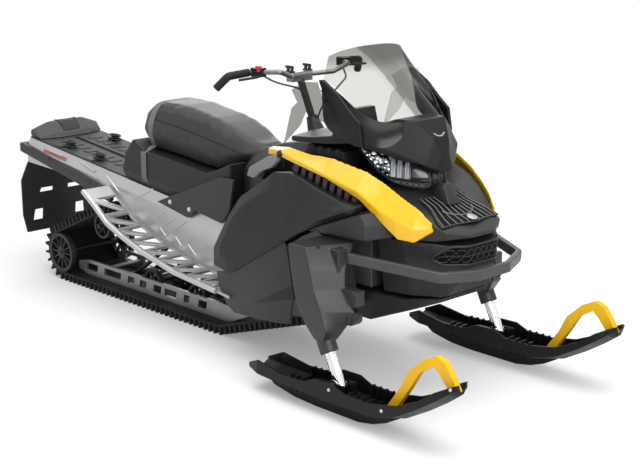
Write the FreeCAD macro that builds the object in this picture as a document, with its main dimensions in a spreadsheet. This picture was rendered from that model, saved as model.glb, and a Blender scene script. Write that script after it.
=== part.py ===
import FreeCAD, Part
import Sketcher
import math
import os
from types import SimpleNamespace
from FreeCAD import Vector, Placement, Rotation

doc = FreeCAD.newDocument("snowmobile")

# Driving dimensions in millimetres, kept in the sheet under the same names
SIZES = {
    # main reach of the machine
    "ski_reach": 645,
    "cowl_length": 1000,
    "rear_length": 1640,
    "cowl_height": 1000,
    "cowl_width": 800,
    # tunnel and rear end
    "tunnel_width": 436,
    "sheet_wall": 3,
    "tunnel_chamfer": 50,
    "bumper_bar_thickness": 26,
    "bumper_bar_height": 52,
    "flap_thickness": 8,
    "mat_thickness": 8,
    "anchor_radius": 19,
    "anchor_bore": 9,
    "anchor_length": 90,
    "bag_length": 125,
    "plate_wall": 12,
    "hitch_bore": 8,
    "hitch_reach": 40,
    # running boards
    "board_width": 165,
    "board_thickness": 12,
    "board_rail": 13,
    "board_bays": 9,
    # track and its frame
    "track_width": 406,
    "belt_thickness": 8,
    "lug_height": 38,
    "lug_pitch": 73,
    "wheel_radius": 104,
    "sprocket_radius": 92,
    "small_wheel_radius": 65,
    "wheel_width": 26,
    "rail_spacing": 250,
    "rail_thickness": 16,
    "rail_height": 80,
    "axle_radius": 11,
    # skis and struts
    "ski_stance": 984,
    "ski_width": 160,
    "ski_wall": 8,
    "keel_width": 14,
    "loop_width": 26,
    "pivot_height": 116,
    "pivot_bolt": 8,
    "strut_radius": 23,
    "strut_lead": 18,
    "collar_radius": 38,
    # steering
    "post_radius": 16,
    "handlebar_width": 840,
    "bar_radius": 11,
    "grip_radius": 17,
    "cable_radius": 4,
    "strap_width": 38,
    # fits
    "running_gap": 1,
    "loose_gap": 6,
    "seat_gap": 1,
    "overrun": 20,
}

sheet = doc.addObject("Spreadsheet::Sheet", "Sizes")
for row, (alias, number) in enumerate(SIZES.items(), start=1):
    sheet.set(f"A{row}", alias)
    sheet.set(f"B{row}", str(number))
    sheet.setAlias(f"B{row}", alias)
doc.recompute()


class Length:
    """A length with the sheet formula that gives it."""

    def __init__(self, formula, value):
        self.formula = formula
        self.value = value

    def __add__(self, other):
        return Length(f"({self.formula} + {other.formula})", self.value + other.value)

    def __sub__(self, other):
        return Length(f"({self.formula} - {other.formula})", self.value - other.value)

    def __mul__(self, factor):
        return Length(f"({self.formula} * {factor})", self.value * factor)

    __rmul__ = __mul__

    def __neg__(self):
        return self * -1


S = SimpleNamespace(**{alias: Length(f"Sizes.{alias}", float(sheet.get(alias))) for alias in SIZES})
ZERO = S.overrun * 0
RIGHT = -1
LEFT = 1
SIDES = {"right": RIGHT, "left": LEFT}

# Stations along the machine: the ski bolts are the reference, and the box is centred on the origin
ski_station = (S.cowl_length + S.rear_length + S.hitch_reach - S.ski_reach) * 0.5
cowl_rear = ski_station - S.cowl_length


def cowl(share):
    """Station of the bodywork, ahead of the ski bolts for a share above zero."""
    return ski_station + S.cowl_length * share


def rear(share):
    """Station behind the bodywork, where a share of one is the rear bumper."""
    return cowl_rear - S.rear_length * share


def up(share):
    return S.cowl_height * share


def out(share):
    """Place across the machine, where half is the side of the bodywork."""
    return S.cowl_width * share


def vector(x, y, z):
    return Vector(x.value, y.value, z.value)


nodes = {}


# Document objects
def new_body(label):
    body = doc.addObject("PartDesign::Body", label)
    body.Label = label
    nodes[label] = body
    return body


def origin_plane(body, role):
    return next(feature for feature in body.Origin.OriginFeatures if feature.Role == role)


def outline_sketch(body, name, role, offset, outlines):
    """Closed outlines of straight lines on an origin plane moved along its normal."""
    sketch = body.newObject("Sketcher::SketchObject", name)
    sketch.AttachmentSupport = [(origin_plane(body, role), "")]
    sketch.MapMode = "FlatFace"
    sketch.AttachmentOffset = Placement(Vector(0, 0, offset.value), Rotation())
    sketch.setExpression("AttachmentOffset.Base.z", offset.formula)
    for corners in outlines:
        first = sketch.GeometryCount
        count = len(corners)
        ends = [Vector(u.value, v.value, 0) for u, v in corners]
        for index in range(count):
            sketch.addGeometry(Part.LineSegment(ends[index], ends[(index + 1) % count]), False)
        for index in range(count):
            line = first + index
            following = first + (index + 1) % count
            sketch.addConstraint(Sketcher.Constraint("Coincident", line, 2, following, 1))
        for index, (u, v) in enumerate(corners):
            line = first + index
            for kind, place in (("DistanceX", u), ("DistanceY", v)):
                number = sketch.addConstraint(Sketcher.Constraint(kind, line, 1, place.value))
                sketch.setExpression(f"Constraints[{number}]", place.formula)
    return sketch


def lofted(label, role, stations, ruled=True):
    """Body lofted between outlines, each given with its offset along the plane's normal."""
    body = new_body(label)
    sketches = [
        outline_sketch(body, f"{label}_section_{number}", role, offset, [corners])
        for number, (offset, corners) in enumerate(stations)
    ]
    loft = body.newObject("PartDesign::AdditiveLoft", f"{label}_loft")
    loft.Profile = sketches[0]
    loft.Sections = sketches[1:]
    loft.Ruled = ruled
    return body


def padded_plate(label, role, corners, near, far):
    """Body padded between two offsets along the plane's normal."""
    body = new_body(label)
    sketch = outline_sketch(body, f"{label}_outline", role, near, [corners])
    pad = body.newObject("PartDesign::Pad", f"{label}_pad")
    pad.Profile = sketch
    pad.Length = abs((far - near).value)
    thickness = far - near
    pad.setExpression("Length", thickness.formula)
    return body


def pocket_through(body, label, role, offset, outlines):
    sketch = outline_sketch(body, f"{label}_cuts", role, offset, outlines)
    pocket = body.newObject("PartDesign::Pocket", f"{label}_pocket")
    pocket.Profile = sketch
    pocket.Type = "ThroughAll"
    pocket.Midplane = True
    return pocket


def plain_piece(label, shape):
    piece = doc.addObject("Part::Feature", label)
    piece.Label = label
    piece.Shape = shape
    nodes[label] = piece
    return piece


def give_way(label, *neighbours):
    """Takes the room of the neighbours out of a piece, so that they seat against each other."""
    for neighbour in neighbours:
        form = nodes[label]
        form.Label = f"{label}_before_{neighbour}"
        cut = doc.addObject("Part::Cut", f"{label}_beside_{neighbour}")
        cut.Base = form
        cut.Tool = nodes[neighbour]
        cut.Refine = True
        cut.Label = label
        nodes[label] = cut


def rod(start, end, radius):
    """Round bar between two points."""
    along = end - start
    return Part.makeCylinder(radius.value, along.Length, start, along)


def bent_path(points, bend):
    """Straight runs joined by tangent arcs of one radius."""
    edges = []
    last = points[0]
    for before, corner, after in zip(points, points[1:], points[2:]):
        back = (before - corner).normalize()
        ahead = (after - corner).normalize()
        half = math.pi / 2 - back.getAngle(ahead) / 2
        reach = bend.value * math.tan(half)
        middle = (back + ahead).normalize()
        start = corner + back * reach
        end = corner + ahead * reach
        crown = corner + middle * (bend.value / math.cos(half) - bend.value)
        edges.append(Part.LineSegment(last, start).toShape())
        edges.append(Part.Arc(start, crown, end).toShape())
        last = end
    edges.append(Part.LineSegment(last, points[-1]).toShape())
    return Part.Wire(edges)


def bent_rod(points, bend, radius):
    path = bent_path(points, bend)
    ring = Part.Wire(Part.makeCircle(radius.value, points[0], points[1] - points[0]))
    return path.makePipeShell([ring], True, False)


def block(low, high):
    """Box between two corners given as lengths."""
    corner = vector(*low)
    span = vector(*high) - corner
    return Part.makeBox(span.x, span.y, span.z, corner)


# Tunnel: one folded sheet with chamfered shoulders, rising to the rear
half_tunnel = S.tunnel_width * 0.5
tunnel_front = cowl(-0.4)
tunnel_front_top = up(0.492)
TUNNEL_RISE_SHARE = 0.1065
SHOULDER_SHARE = 0.4
FOLD_SHARE = 0.6
tunnel_rear = rear(1) + S.bumper_bar_thickness + S.flap_thickness


def tunnel_top(station):
    """Height of the deck at a station."""
    return tunnel_front_top + (tunnel_front - station) * TUNNEL_RISE_SHARE


def tunnel_section(station, low):
    """Channel outline across the machine, open below."""
    top = tunnel_top(station)
    shoulder = half_tunnel - S.tunnel_chamfer * SHOULDER_SHARE
    drop = top - S.tunnel_chamfer
    wall = S.sheet_wall
    inner = half_tunnel - wall
    fold = wall * FOLD_SHARE
    inner_shoulder = shoulder - fold
    return [
        (-half_tunnel, low), (-half_tunnel, drop), (-shoulder, top), (shoulder, top),
        (half_tunnel, drop), (half_tunnel, low), (inner, low), (inner, drop - fold),
        (inner_shoulder, top - wall), (-inner_shoulder, top - wall), (-inner, drop - fold), (-inner, low),
    ]


TUNNEL_LOW_SHARES = [(0.975, 0.6), (0.6, 0.58), (0.488, 0.532), (0.4165, 0.451), (0.257, 0.364), (0.107, 0.313),
                     (0, 0.301)]
TUNNEL_FRONT_LOW_SHARE = 0.291
tunnel_stations = [(tunnel_rear, TUNNEL_LOW_SHARES[0][1])]
tunnel_stations += [(rear(share), low_share) for share, low_share in TUNNEL_LOW_SHARES[1:]]
tunnel_stations += [(tunnel_front, TUNNEL_FRONT_LOW_SHARE)]
lofted("tunnel", "YZ_Plane", [(station, tunnel_section(station, up(low_share)))
                              for station, low_share in tunnel_stations])

# Running boards: a ribbon with triangular openings and a tube along the outer edge
BOARD_LINE_SHARES = [(0.532, 0.592), (0.488, 0.548), (0.4165, 0.466), (0.3415, 0.42), (0.257, 0.379),
                     (0.107, 0.328), (-0.074, 0.302), (-0.128, 0.292)]
board_line = [(rear(share), up(height_share)) for share, height_share in BOARD_LINE_SHARES]
board_outer = half_tunnel + S.board_width
BAY_END_SHARES = (0.5, -0.06)
bay_start = rear(BAY_END_SHARES[0])
bay = (rear(BAY_END_SHARES[1]) - bay_start) * (1 / SIZES["board_bays"])
rib = S.board_thickness * 0.6
board_border = S.board_thickness * 1.5
for side_name, side in SIDES.items():
    label = f"running_board_{side_name}"
    under = [(x, z - S.board_thickness) for x, z in reversed(board_line)]
    near, far = (half_tunnel, board_outer) if side == RIGHT else (-board_outer, -half_tunnel)
    board = padded_plate(label, "XZ_Plane", board_line + under, near, far)
    edge_in = half_tunnel + board_border
    edge_out = board_outer - board_border
    openings = []
    for number in range(SIZES["board_bays"]):
        start = bay_start + bay * number + rib
        end = bay_start + bay * (number + 1) - rib
        openings.append([(start, edge_in * side), (end - rib * 2, edge_in * side),
                         (start, (edge_out - rib * 2) * side)])
        openings.append([(end, edge_out * side), (start + rib * 2, edge_out * side),
                         (end, (edge_in + rib * 2) * side)])
    pocket_through(board, label, "XY_Plane", ZERO, openings)

# Bright rails along the outer edges of the running boards
for side_name, side in SIDES.items():
    points = [vector(x, board_outer * side, z - S.board_thickness * 0.5) for x, z in board_line[:-1]]
    plain_piece(f"board_rail_{side_name}", bent_rod(points, S.overrun, S.board_rail))
    give_way(f"running_board_{side_name}", f"board_rail_{side_name}")

# Rear bumper: a flat bar up both sides of the tunnel and round the rear
BUMPER_LOW_SHARES = [(1, 0.655), (0.75, 0.582), (0.524, 0.51), (0.516, 0.522)]
BUMPER_HIGH_SHARES = [(0.516, 0.544), (0.524, 0.558), (0.75, 0.632), (1, 0.703)]
bumper_outline = [(rear(x), up(z)) for x, z in BUMPER_LOW_SHARES + BUMPER_HIGH_SHARES]
bumper_outer = half_tunnel + S.bumper_bar_thickness
BUMPER_OPEN_SHARE = 0.4
bumper = padded_plate("rear_bumper", "XZ_Plane", bumper_outline, -bumper_outer, bumper_outer)
bumper_inner = [
    (rear(1) + S.bumper_bar_thickness, -half_tunnel), (rear(BUMPER_OPEN_SHARE), -half_tunnel),
    (rear(BUMPER_OPEN_SHARE), half_tunnel), (rear(1) + S.bumper_bar_thickness, half_tunnel),
]
pocket_through(bumper, "rear_bumper", "XY_Plane", ZERO, [bumper_inner])

# Snow flap: a moulded sheet that leans back below the bumper, with slots and windows
FLAP_SHARES = [(0.2, 0.04, 0.248), (0.3, 0.033, 0.285), (0.498, 0.015, 0.31), (0.64, 0, 0.245), (0.7, 0, 0.245)]
flap_stations = []
for height_share, lean_share, half_share in FLAP_SHARES:
    front = tunnel_rear - S.rear_length * lean_share
    rear_face = front - S.flap_thickness
    half = out(half_share)
    flap_stations.append((up(height_share), [
        (rear_face, -half), (front, -half), (front, half), (rear_face, half)]))
flap = lofted("snow_flap", "XY_Plane", flap_stations)
FLAP_CUT_SHARES = [(0.06, 0.165, 0.155, 0.415, 0.438), (0.13, 0.205, 0.195, 0.262, 0.322)]
flap_cuts = []
for near_share, far_low, far_high, low_share, high_share in FLAP_CUT_SHARES:
    for side in SIDES.values():
        flap_cuts.append([(out(near_share * side), up(low_share)), (out(far_low * side), up(low_share)),
                          (out(far_high * side), up(high_share)), (out(near_share * side), up(high_share))])
pocket_through(flap, "snow_flap", "YZ_Plane", ZERO, flap_cuts)

# Deck mat on the tunnel, behind the seat
MAT_WIDTH_SHARE = 0.88
mat_half = half_tunnel * MAT_WIDTH_SHARE


def on_deck(station, half, thickness):
    top = tunnel_top(station)
    return [(-half, top), (half, top), (half, top + thickness), (-half, top + thickness)]


SEAT_REAR_SHARE = -1.779
mat_ends = [tunnel_rear, cowl(SEAT_REAR_SHARE) - S.loose_gap]
lofted("deck_mat", "YZ_Plane", [(station, on_deck(station, mat_half, S.mat_thickness)) for station in mat_ends])

# Cargo anchors: long feet let into the mat, each with a bored collar
deck_up = Vector(TUNNEL_RISE_SHARE, 0, 1).normalize()
deck_along = Vector(1, 0, -TUNNEL_RISE_SHARE).normalize()
anchors = []
feet = []
ANCHOR_STATION_SHARES = (0.825, 0.65)
anchor_inset = S.anchor_radius * 1.2
for share in ANCHOR_STATION_SHARES:
    for side in SIDES.values():
        station = rear(share)
        foot = vector(station, (mat_half - anchor_inset) * side, tunnel_top(station))
        height = S.mat_thickness.value
        tail = foot - deck_along * (S.anchor_length - S.anchor_radius * 2).value
        half_wide = Vector(0, S.anchor_radius.value * 0.8, 0)
        corners = [tail - half_wide, foot - half_wide, foot + half_wide, tail + half_wide, tail - half_wide]
        strip = Part.Face(Part.makePolygon(corners)).extrude(deck_up * height * 1.25)
        heel = Part.makeCylinder(half_wide.y, height * 1.25, tail, deck_up)
        socket = Part.makeCylinder(S.anchor_radius.value, height * 2, foot, deck_up)
        bore = Part.makeCylinder(S.anchor_bore.value, height * 2, foot, deck_up)
        feet.append(strip.fuse([heel, socket]))
        anchors.append(feet[-1].cut(bore))
plain_piece("cargo_anchors", Part.makeCompound(anchors))
doc.recompute()
mat_form = nodes["deck_mat"]
mat_form.Label = "deck_mat_form"
plain_piece("deck_mat", mat_form.Shape.cut(feet))

# Storage bag across the rear of the deck
bag_rear = tunnel_rear + S.seat_gap
BAG_SHARES = [(0.256, 0.76, 0.3, 0.042), (0.125, 1, 0.36, 0.076), (-0.125, 1, 0.36, 0.076),
              (-0.256, 0.76, 0.3, 0.042)]
BAG_BACK_SHARE = 0.85
bag_stations = []
for y_share, length_share, crest_share, height_share in BAG_SHARES:
    front = bag_rear + S.bag_length * length_share
    crest = bag_rear + S.bag_length * crest_share
    rise = S.mat_thickness + S.seat_gap
    bag_stations.append((out(-y_share), [
        (bag_rear, tunnel_top(bag_rear) + rise), (front, tunnel_top(front) + rise),
        (crest, tunnel_top(crest) + rise + up(height_share)),
        (bag_rear, tunnel_top(bag_rear) + rise + up(height_share * BAG_BACK_SHARE)),
    ]))
lofted("storage_bag", "XZ_Plane", bag_stations)

# Seat base: a moulded box that stands on the tunnel and carries the cushion
CUSHION_SHARES = [
    (-1.712, 0.12, 0.16, 0.872, 0.935), (-1.69, 0.155, 0.19, 0.845, 0.975), (-1.64, 0.16, 0.212, 0.82, 1.007),
    (-1.586, 0.155, 0.226, 0.797, 1.022), (-1.434, 0.145, 0.23, 0.79, 1.02), (-1.217, 0.135, 0.222, 0.768, 0.99),
    (-1.142, 0.135, 0.212, 0.762, 0.972), (-1.064, 0.13, 0.198, 0.79, 0.945), (-0.975, 0.11, 0.16, 0.829, 0.91),
    (-0.895, 0.075, 0.11, 0.862, 0.895),
]
cushion_low = [(cowl(share), up(low_share)) for share, top_half, low_half, low_share, top_share in CUSHION_SHARES]
SEAT_FOOT_SHARES = (SEAT_REAR_SHARE, -1.0)
foot_rear, foot_front = (cowl(share) for share in SEAT_FOOT_SHARES)
base_top = cushion_low[1:-1]
base_sides = [(0.268, up(0.05)), (0.238, ZERO), (-0.238, ZERO), (-0.268, up(0.05))]
base_nose = (cowl(-0.96), up(0.66))
base_heel = (cowl(-1.752), up(0.77))
base_stations = []
for y_share, lift in base_sides:
    base_feet = [(foot_rear, tunnel_top(foot_rear) + lift), (foot_front, tunnel_top(foot_front) + lift)]
    base_stations.append((out(y_share), base_feet + [base_nose] + list(reversed(base_top)) + [base_heel]))
lofted("seat_base", "XZ_Plane", base_stations)

# Seat cushion
CUSHION_SHOULDER_SHARE = 0.4
CUSHION_FOOT_SHARE = 0.85
cushion_stations = []
for share, top_half, low_half, low_share, top_share in CUSHION_SHARES:
    shoulder = (top_share - low_share) * CUSHION_SHOULDER_SHARE + low_share
    foot_half, foot = out(low_half * CUSHION_FOOT_SHARE), up(low_share) + S.seat_gap
    cushion_stations.append((cowl(share), [
        (-foot_half, foot), (foot_half, foot),
        (out(low_half), up(shoulder)), (out(top_half), up(top_share)), (-out(top_half), up(top_share)),
        (-out(low_half), up(shoulder)),
    ]))
lofted("seat_cushion", "YZ_Plane", cushion_stations)

# Foot plates: moulded sides of the seat base that lap over the tunnel
PLATE_SHARES = [(-1.484, 0.576), (-1.391, 0.615), (-1.018, 0.765), (-0.93, 0.765), (-0.96, 0.623), (-1.017, 0.553),
                (-1.208, 0.58), (-1.261, 0.537)]
plates = []
for side in SIDES.values():
    near = (half_tunnel + S.seat_gap).value * side
    corners = [Vector(cowl(x).value, near, up(z).value) for x, z in PLATE_SHARES]
    plate = Part.Face(Part.makePolygon(corners + corners[:1]))
    plates.append(plate.extrude(Vector(0, S.plate_wall.value * side, 0)))
plain_piece("foot_plates", Part.makeCompound(plates))

# Console between the seat and the hood, with the knee corners at its sides
CONSOLE_SHARES = [(-0.94, 0.19, 0.2, 0.86), (-0.86, 0.22, 0.24, 0.905), (-0.7, 0.238, 0.268, 0.955),
                  (-0.6, 0.238, 0.268, 0.975), (-0.5, 0.238, 0.268, 0.985)]
foot_rise = up(0.05)
crown_drop = up(0.06)
CROWN_SHARE = 0.7
console_stations = []
for share, foot_share, half_share, top_share in CONSOLE_SHARES:
    foot = tunnel_top(cowl(share)) + S.seat_gap
    foot_half, half, top = out(foot_share), out(half_share), up(top_share)
    console_stations.append((cowl(share), [
        (-foot_half, foot), (foot_half, foot), (half, foot + foot_rise), (half, top - crown_drop),
        (half * CROWN_SHARE, top), (-half * CROWN_SHARE, top), (-half, top - crown_drop), (-half, foot + foot_rise),
    ]))
console_shell = lofted("console_shell", "YZ_Plane", console_stations)
KNEE_SHARES = [(-0.703, 0.88), (-0.62, 0.922), (-0.615, 0.86), (-0.628, 0.831), (-0.683, 0.831)]
knee_outline = [(cowl(x), up(z)) for x, z in KNEE_SHARES]
knee_half = out(0.41)
knees = padded_plate("knee_corners", "XZ_Plane", knee_outline, -knee_half, knee_half)
POST_TOP_SHARE = (-0.744, 1.224)
POST_LOW_SHARE = (-0.61, 0.937)
post_top = vector(cowl(POST_TOP_SHARE[0]), ZERO, up(POST_TOP_SHARE[1]))
post_low = vector(cowl(POST_LOW_SHARE[0]), ZERO, up(POST_LOW_SHARE[1]))
post_up = (post_top - post_low).normalize()
doc.recompute()
del nodes["console_shell"]
del nodes["knee_corners"]
post_bore = rod(post_low - post_up * S.overrun.value, post_top, S.post_radius + S.running_gap)
plain_piece("console", console_shell.Shape.fuse(knees.Shape).cut(post_bore))
give_way("console", "seat_base", "seat_cushion", "foot_plates")

# Side panels: charcoal shells over the knees, creased from the rear edge to the front tip
SIDE_PANEL_SHARES = [
    (-0.533, 0.882), (-0.439, 0.896), (-0.367, 0.887), (-0.259, 0.855), (-0.128, 0.828), (-0.025, 0.82),
    (-0.043, 0.79), (-0.115, 0.759), (-0.234, 0.711), (-0.356, 0.652), (-0.572, 0.522), (-0.764, 0.406),
    (-0.815, 0.39), (-0.905, 0.41), (-0.905, 0.49), (-0.832, 0.607), (-0.779, 0.679), (-0.714, 0.757), (-0.58, 0.844),
]
PANEL_CREASE_SHARES = [
    (-0.52, 0.8), (-0.44, 0.81), (-0.367, 0.8), (-0.28, 0.785), (-0.17, 0.785), (-0.07, 0.805),
    (-0.075, 0.795), (-0.13, 0.77), (-0.235, 0.735), (-0.356, 0.71), (-0.56, 0.6), (-0.735, 0.5),
    (-0.785, 0.47), (-0.83, 0.47), (-0.825, 0.52), (-0.775, 0.607), (-0.735, 0.665), (-0.68, 0.72), (-0.575, 0.785),
]
PANEL_CENTRE_SHARE = (-0.4, 0.69)


def drawn_in(shares, factor):
    """Outline drawn in or out about the middle of the panel."""
    middle_x, middle_z = PANEL_CENTRE_SHARE
    return [(middle_x + (x - middle_x) * factor, middle_z + (z - middle_z) * factor) for x, z in shares]


for side_name, side in SIDES.items():
    panel_layers = [(0.375, drawn_in(SIDE_PANEL_SHARES, 0.95)), (0.44, SIDE_PANEL_SHARES),
                    (0.468, drawn_in(SIDE_PANEL_SHARES, 0.995)), (0.503, PANEL_CREASE_SHARES)]
    lofted(f"side_panel_{side_name}", "XZ_Plane", [
        (out(-y_share * side), [(cowl(x), up(z)) for x, z in shares]) for y_share, shares in panel_layers])

# Lower panels beside the tunnel
LOWER_PANEL_SHARES = [
    (-0.785, 0.395), (-0.764, 0.285), (-0.698, 0.272), (-0.555, 0.278), (-0.379, 0.291), (-0.288, 0.304),
    (-0.15, 0.36), (-0.18, 0.485), (-0.22, 0.66), (-0.25, 0.69), (-0.334, 0.65), (-0.551, 0.512), (-0.722, 0.402),
]
PANEL_RECESS_SHARES = [(-0.675, 0.29), (-0.4, 0.425), (-0.405, 0.36)]
for side_name, side in SIDES.items():
    lofted(f"lower_panel_{side_name}", "XZ_Plane", [
        (-(half_tunnel + S.seat_gap) * side, [(cowl(x), up(z)) for x, z in LOWER_PANEL_SHARES]),
        (out(-0.46 * side), [(cowl(x), up(z)) for x, z in LOWER_PANEL_SHARES]),
    ])
    face = out(-0.46) * side
    deep = face + S.board_thickness * 0.5 * side
    low, high = (face, deep) if side == LEFT else (deep, face)
    recess = [(cowl(x), up(z)) for x, z in PANEL_RECESS_SHARES]
    padded_plate(f"panel_recess_{side_name}", "XZ_Plane", recess, low, high)
    give_way(f"lower_panel_{side_name}", f"side_panel_{side_name}", f"panel_recess_{side_name}")
    del nodes[f"panel_recess_{side_name}"]

# Hood panels: yellow bands with a crease, from the console to the nose
HOOD_PANEL_SHARES = [
    (-0.6, 0.356, 0.974, 0.394, 0.97, 0.396, 0.944), (-0.5, 0.356, 0.984, 0.42, 0.974, 0.418, 0.948),
    (-0.38, 0.356, 0.972, 0.425, 0.947, 0.42, 0.926), (-0.235, 0.356, 0.974, 0.425, 0.912, 0.416, 0.897),
    (-0.06, 0.34, 0.945, 0.416, 0.873, 0.403, 0.838), (0.03, 0.32, 0.905, 0.386, 0.812, 0.37, 0.76),
    (0.1, 0.298, 0.862, 0.352, 0.773, 0.334, 0.695), (0.16, 0.268, 0.824, 0.31, 0.74, 0.3, 0.688),
    (0.214, 0.236, 0.774, 0.243, 0.742, 0.24, 0.732),
]
PANEL_SKIN_SHARE = 0.026
SKIN_DROP_SHARES = (0.3, 0.7)
for side_name, side in SIDES.items():
    stations = []
    for share, top_y, top_z, crease_y, crease_z, low_y, low_z in HOOD_PANEL_SHARES:
        skin = PANEL_SKIN_SHARE
        crease_drop, top_drop = (skin * drop_share for drop_share in SKIN_DROP_SHARES)
        stations.append((cowl(share), [
            (out(top_y) * side, up(top_z)), (out(crease_y) * side, up(crease_z)), (out(low_y) * side, up(low_z)),
            (out(low_y - skin) * side, up(low_z)), (out(crease_y - skin) * side, up(crease_z - crease_drop)),
            (out(top_y) * side, up(top_z - top_drop)),
        ]))
    lofted(f"hood_panel_{side_name}", "YZ_Plane", stations)

# Hood: black centre down to the lip, with the slats of the grille cut into it
HOOD_SHARES = [
    (-0.1, 0.3, 0.325, 0.71, 0.92, 0.868), (0.03, 0.28, 0.312, 0.69, 0.875, 0.845),
    (0.1, 0.27, 0.29, 0.69, 0.835, 0.812), (0.16, 0.26, 0.26, 0.69, 0.797, 0.787),
    (0.214, 0.23, 0.23, 0.69, 0.757, 0.77), (0.262, 0.2, 0.212, 0.7, 0.735, 0.752),
    (0.317, 0.08, 0.088, 0.705, 0.715, 0.72),
]
HOOD_CROWN_SHARE = 0.6
hood_stations = []
for share, low, high, bottom, edge, crown in HOOD_SHARES:
    ridge = out(high * HOOD_CROWN_SHARE)
    hood_stations.append((cowl(share), [
        (-out(low), up(bottom)), (out(low), up(bottom)), (out(high), up(edge)), (ridge, up(crown)),
        (-ridge, up(crown)), (-out(high), up(edge)),
    ]))
hood_shell = lofted("hood_shell", "YZ_Plane", hood_stations)
GRILLE_SLAT_SHARES = [(0.06, 0.118, 0.833), (0.09, 0.112, 0.821), (0.12, 0.106, 0.809), (0.15, 0.1, 0.797),
                      (0.18, 0.094, 0.785), (0.21, 0.088, 0.773), (0.24, 0.082, 0.761)]
slat_gap = cowl(0.013) - cowl(0)
slat_depth = up(0.035)
slat_clear = up(0.06)
doc.recompute()
del nodes["hood_shell"]
slats = []
for share, half_share, crown_share in GRILLE_SLAT_SHARES:
    half, crown = out(half_share), up(crown_share)
    slats.append(block((cowl(share), -half, crown - slat_depth), (cowl(share) + slat_gap, half, crown + slat_clear)))
plain_piece("hood", hood_shell.Shape.cut(slats))
give_way("hood", "hood_panel_right", "hood_panel_left")

# Nose below the lip with the lower grille
NOSE_SHARES = [(-0.04, 0.3, 0.44, 0.685), (0.1, 0.3, 0.45, 0.685), (0.22, 0.24, 0.46, 0.685), (0.255, 0.2, 0.47, 0.68),
               (0.313, 0.11, 0.58, 0.67)]


def tapered_down(shares, narrow):
    """Sections of a tub that is narrower below, from stations with a half width, a bottom and a top."""
    return [(cowl(share), [(-out(half * narrow), up(bottom)), (out(half * narrow), up(bottom)), (out(half), up(top)),
                           (-out(half), up(top))]) for share, half, bottom, top in shares]


nose_shell = lofted("nose_shell", "YZ_Plane", tapered_down(NOSE_SHARES, 0.8))
doc.recompute()
del nodes["nose_shell"]
NOSE_SLOT_SHARES = [0.605, 0.625, 0.645]
nose_slot_ends = (cowl(0.262), cowl(0.33))
nose_slot_half = out(0.1)
nose_slot_gap = up(0.011)
nose_slots = [block((nose_slot_ends[0], -nose_slot_half, up(share)),
                    (nose_slot_ends[1], nose_slot_half, up(share) + nose_slot_gap)) for share in NOSE_SLOT_SHARES]
plain_piece("nose", nose_shell.Shape.cut(nose_slots))

# Front cowls: the corners between the side panels, the yellow bands and the nose
COWL_LAYERS = [
    (0.306, [(-0.33, 0.672), (-0.04, 0.8), (0.03, 0.8), (0.06, 0.75), (0.06, 0.69)]),
    (0.456, [(-0.33, 0.672), (-0.06, 0.778), (-0.01, 0.79), (0.02, 0.75), (0.02, 0.69)]),
]
for side_name, side in SIDES.items():
    lofted(f"front_cowl_{side_name}", "XZ_Plane", [
        (out(-y_share * side), [(cowl(x), up(z)) for x, z in shares]) for y_share, shares in COWL_LAYERS])
    give_way(f"front_cowl_{side_name}", f"side_panel_{side_name}", f"hood_panel_{side_name}", "hood",
             f"lower_panel_{side_name}")

# Belly pan under the engine
BELLY_SHARES = [(-0.368, 0.265, 0.292, 0.42), (-0.127, 0.265, 0.294, 0.43), (0.096, 0.26, 0.384, 0.438),
                (0.22, 0.2, 0.435, 0.455)]
lofted("belly_pan", "YZ_Plane", tapered_down(BELLY_SHARES, 0.85))

# Engine: one plain block inside the bodywork
engine_half = out(0.24)
engine_ends = ((cowl(-0.36), up(0.44)), (cowl(-0.11), up(0.68)))
plain_piece("engine_block", block((engine_ends[0][0], -engine_half, engine_ends[0][1]),
                                  (engine_ends[1][0], engine_half, engine_ends[1][1])))

# Headlamps under the windshield pod
HEADLAMP_SHARES = [
    (0.006, (0, 0.926), (0.045, 0.922), (0.05, 0.853), (0, 0.85)),
    (0.165, (-0.06, 0.992), (0.018, 0.988), (0.033, 0.878), (-0.06, 0.878)),
    (0.245, (-0.12, 1.03), (-0.035, 1.028), (-0.034, 0.919), (-0.12, 0.919)),
    (0.31, (-0.18, 1.033), (-0.145, 1.031), (-0.14, 1.015), (-0.18, 1.012)),
]
for side_name, side in SIDES.items():
    lofted(f"headlamp_{side_name}", "XZ_Plane", [
        (out(-y) * side, [(cowl(x), up(z)) for x, z in corners]) for y, *corners in HEADLAMP_SHARES])

# Windshield pod with an arm up each side of the sheet
POD_SHARES = [
    (-0.54, 0.3, 0.3, 1.0, 1.02, 1.03), (-0.4, 0.322, 0.322, 1.0, 1.035, 1.05),
    (-0.265, 0.335, 0.34, 0.998, 1.06, 1.075), (-0.149, 0.328, 0.337, 0.995, 1.05, 1.105),
    (-0.06, 0.275, 0.285, 0.975, 1.04, 1.136), (0.025, 0.19, 0.215, 0.95, 1.01, 1.135),
    (0.085, 0.075, 0.11, 0.93, 0.96, 1.068), (0.112, 0.04, 0.05, 0.928, 0.945, 1.0),
]
POD_CROWN_SHARE = 0.5
pod_stations = []
for share, low_half, half, bottom, side_top, crown in POD_SHARES:
    ridge = out(half * POD_CROWN_SHARE)
    pod_stations.append((cowl(share), [
        (-out(low_half), up(bottom)), (out(low_half), up(bottom)), (out(half), up(side_top)), (ridge, up(crown)),
        (-ridge, up(crown)), (-out(half), up(side_top)),
    ]))
pod_shell = lofted("pod_shell", "YZ_Plane", pod_stations)
ARM_SHARES = [
    (-0.341, 1.28), (-0.318, 1.283), (-0.233, 1.235), (-0.169, 1.178), (-0.11, 1.132), (-0.093, 1.036),
    (-0.149, 1.035), (-0.187, 1.063), (-0.265, 1.06), (-0.228, 1.119), (-0.292, 1.184),
]
ARM_INNER_SHARE = 0.322
ARM_OUTER_SHARE = 0.344
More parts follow.
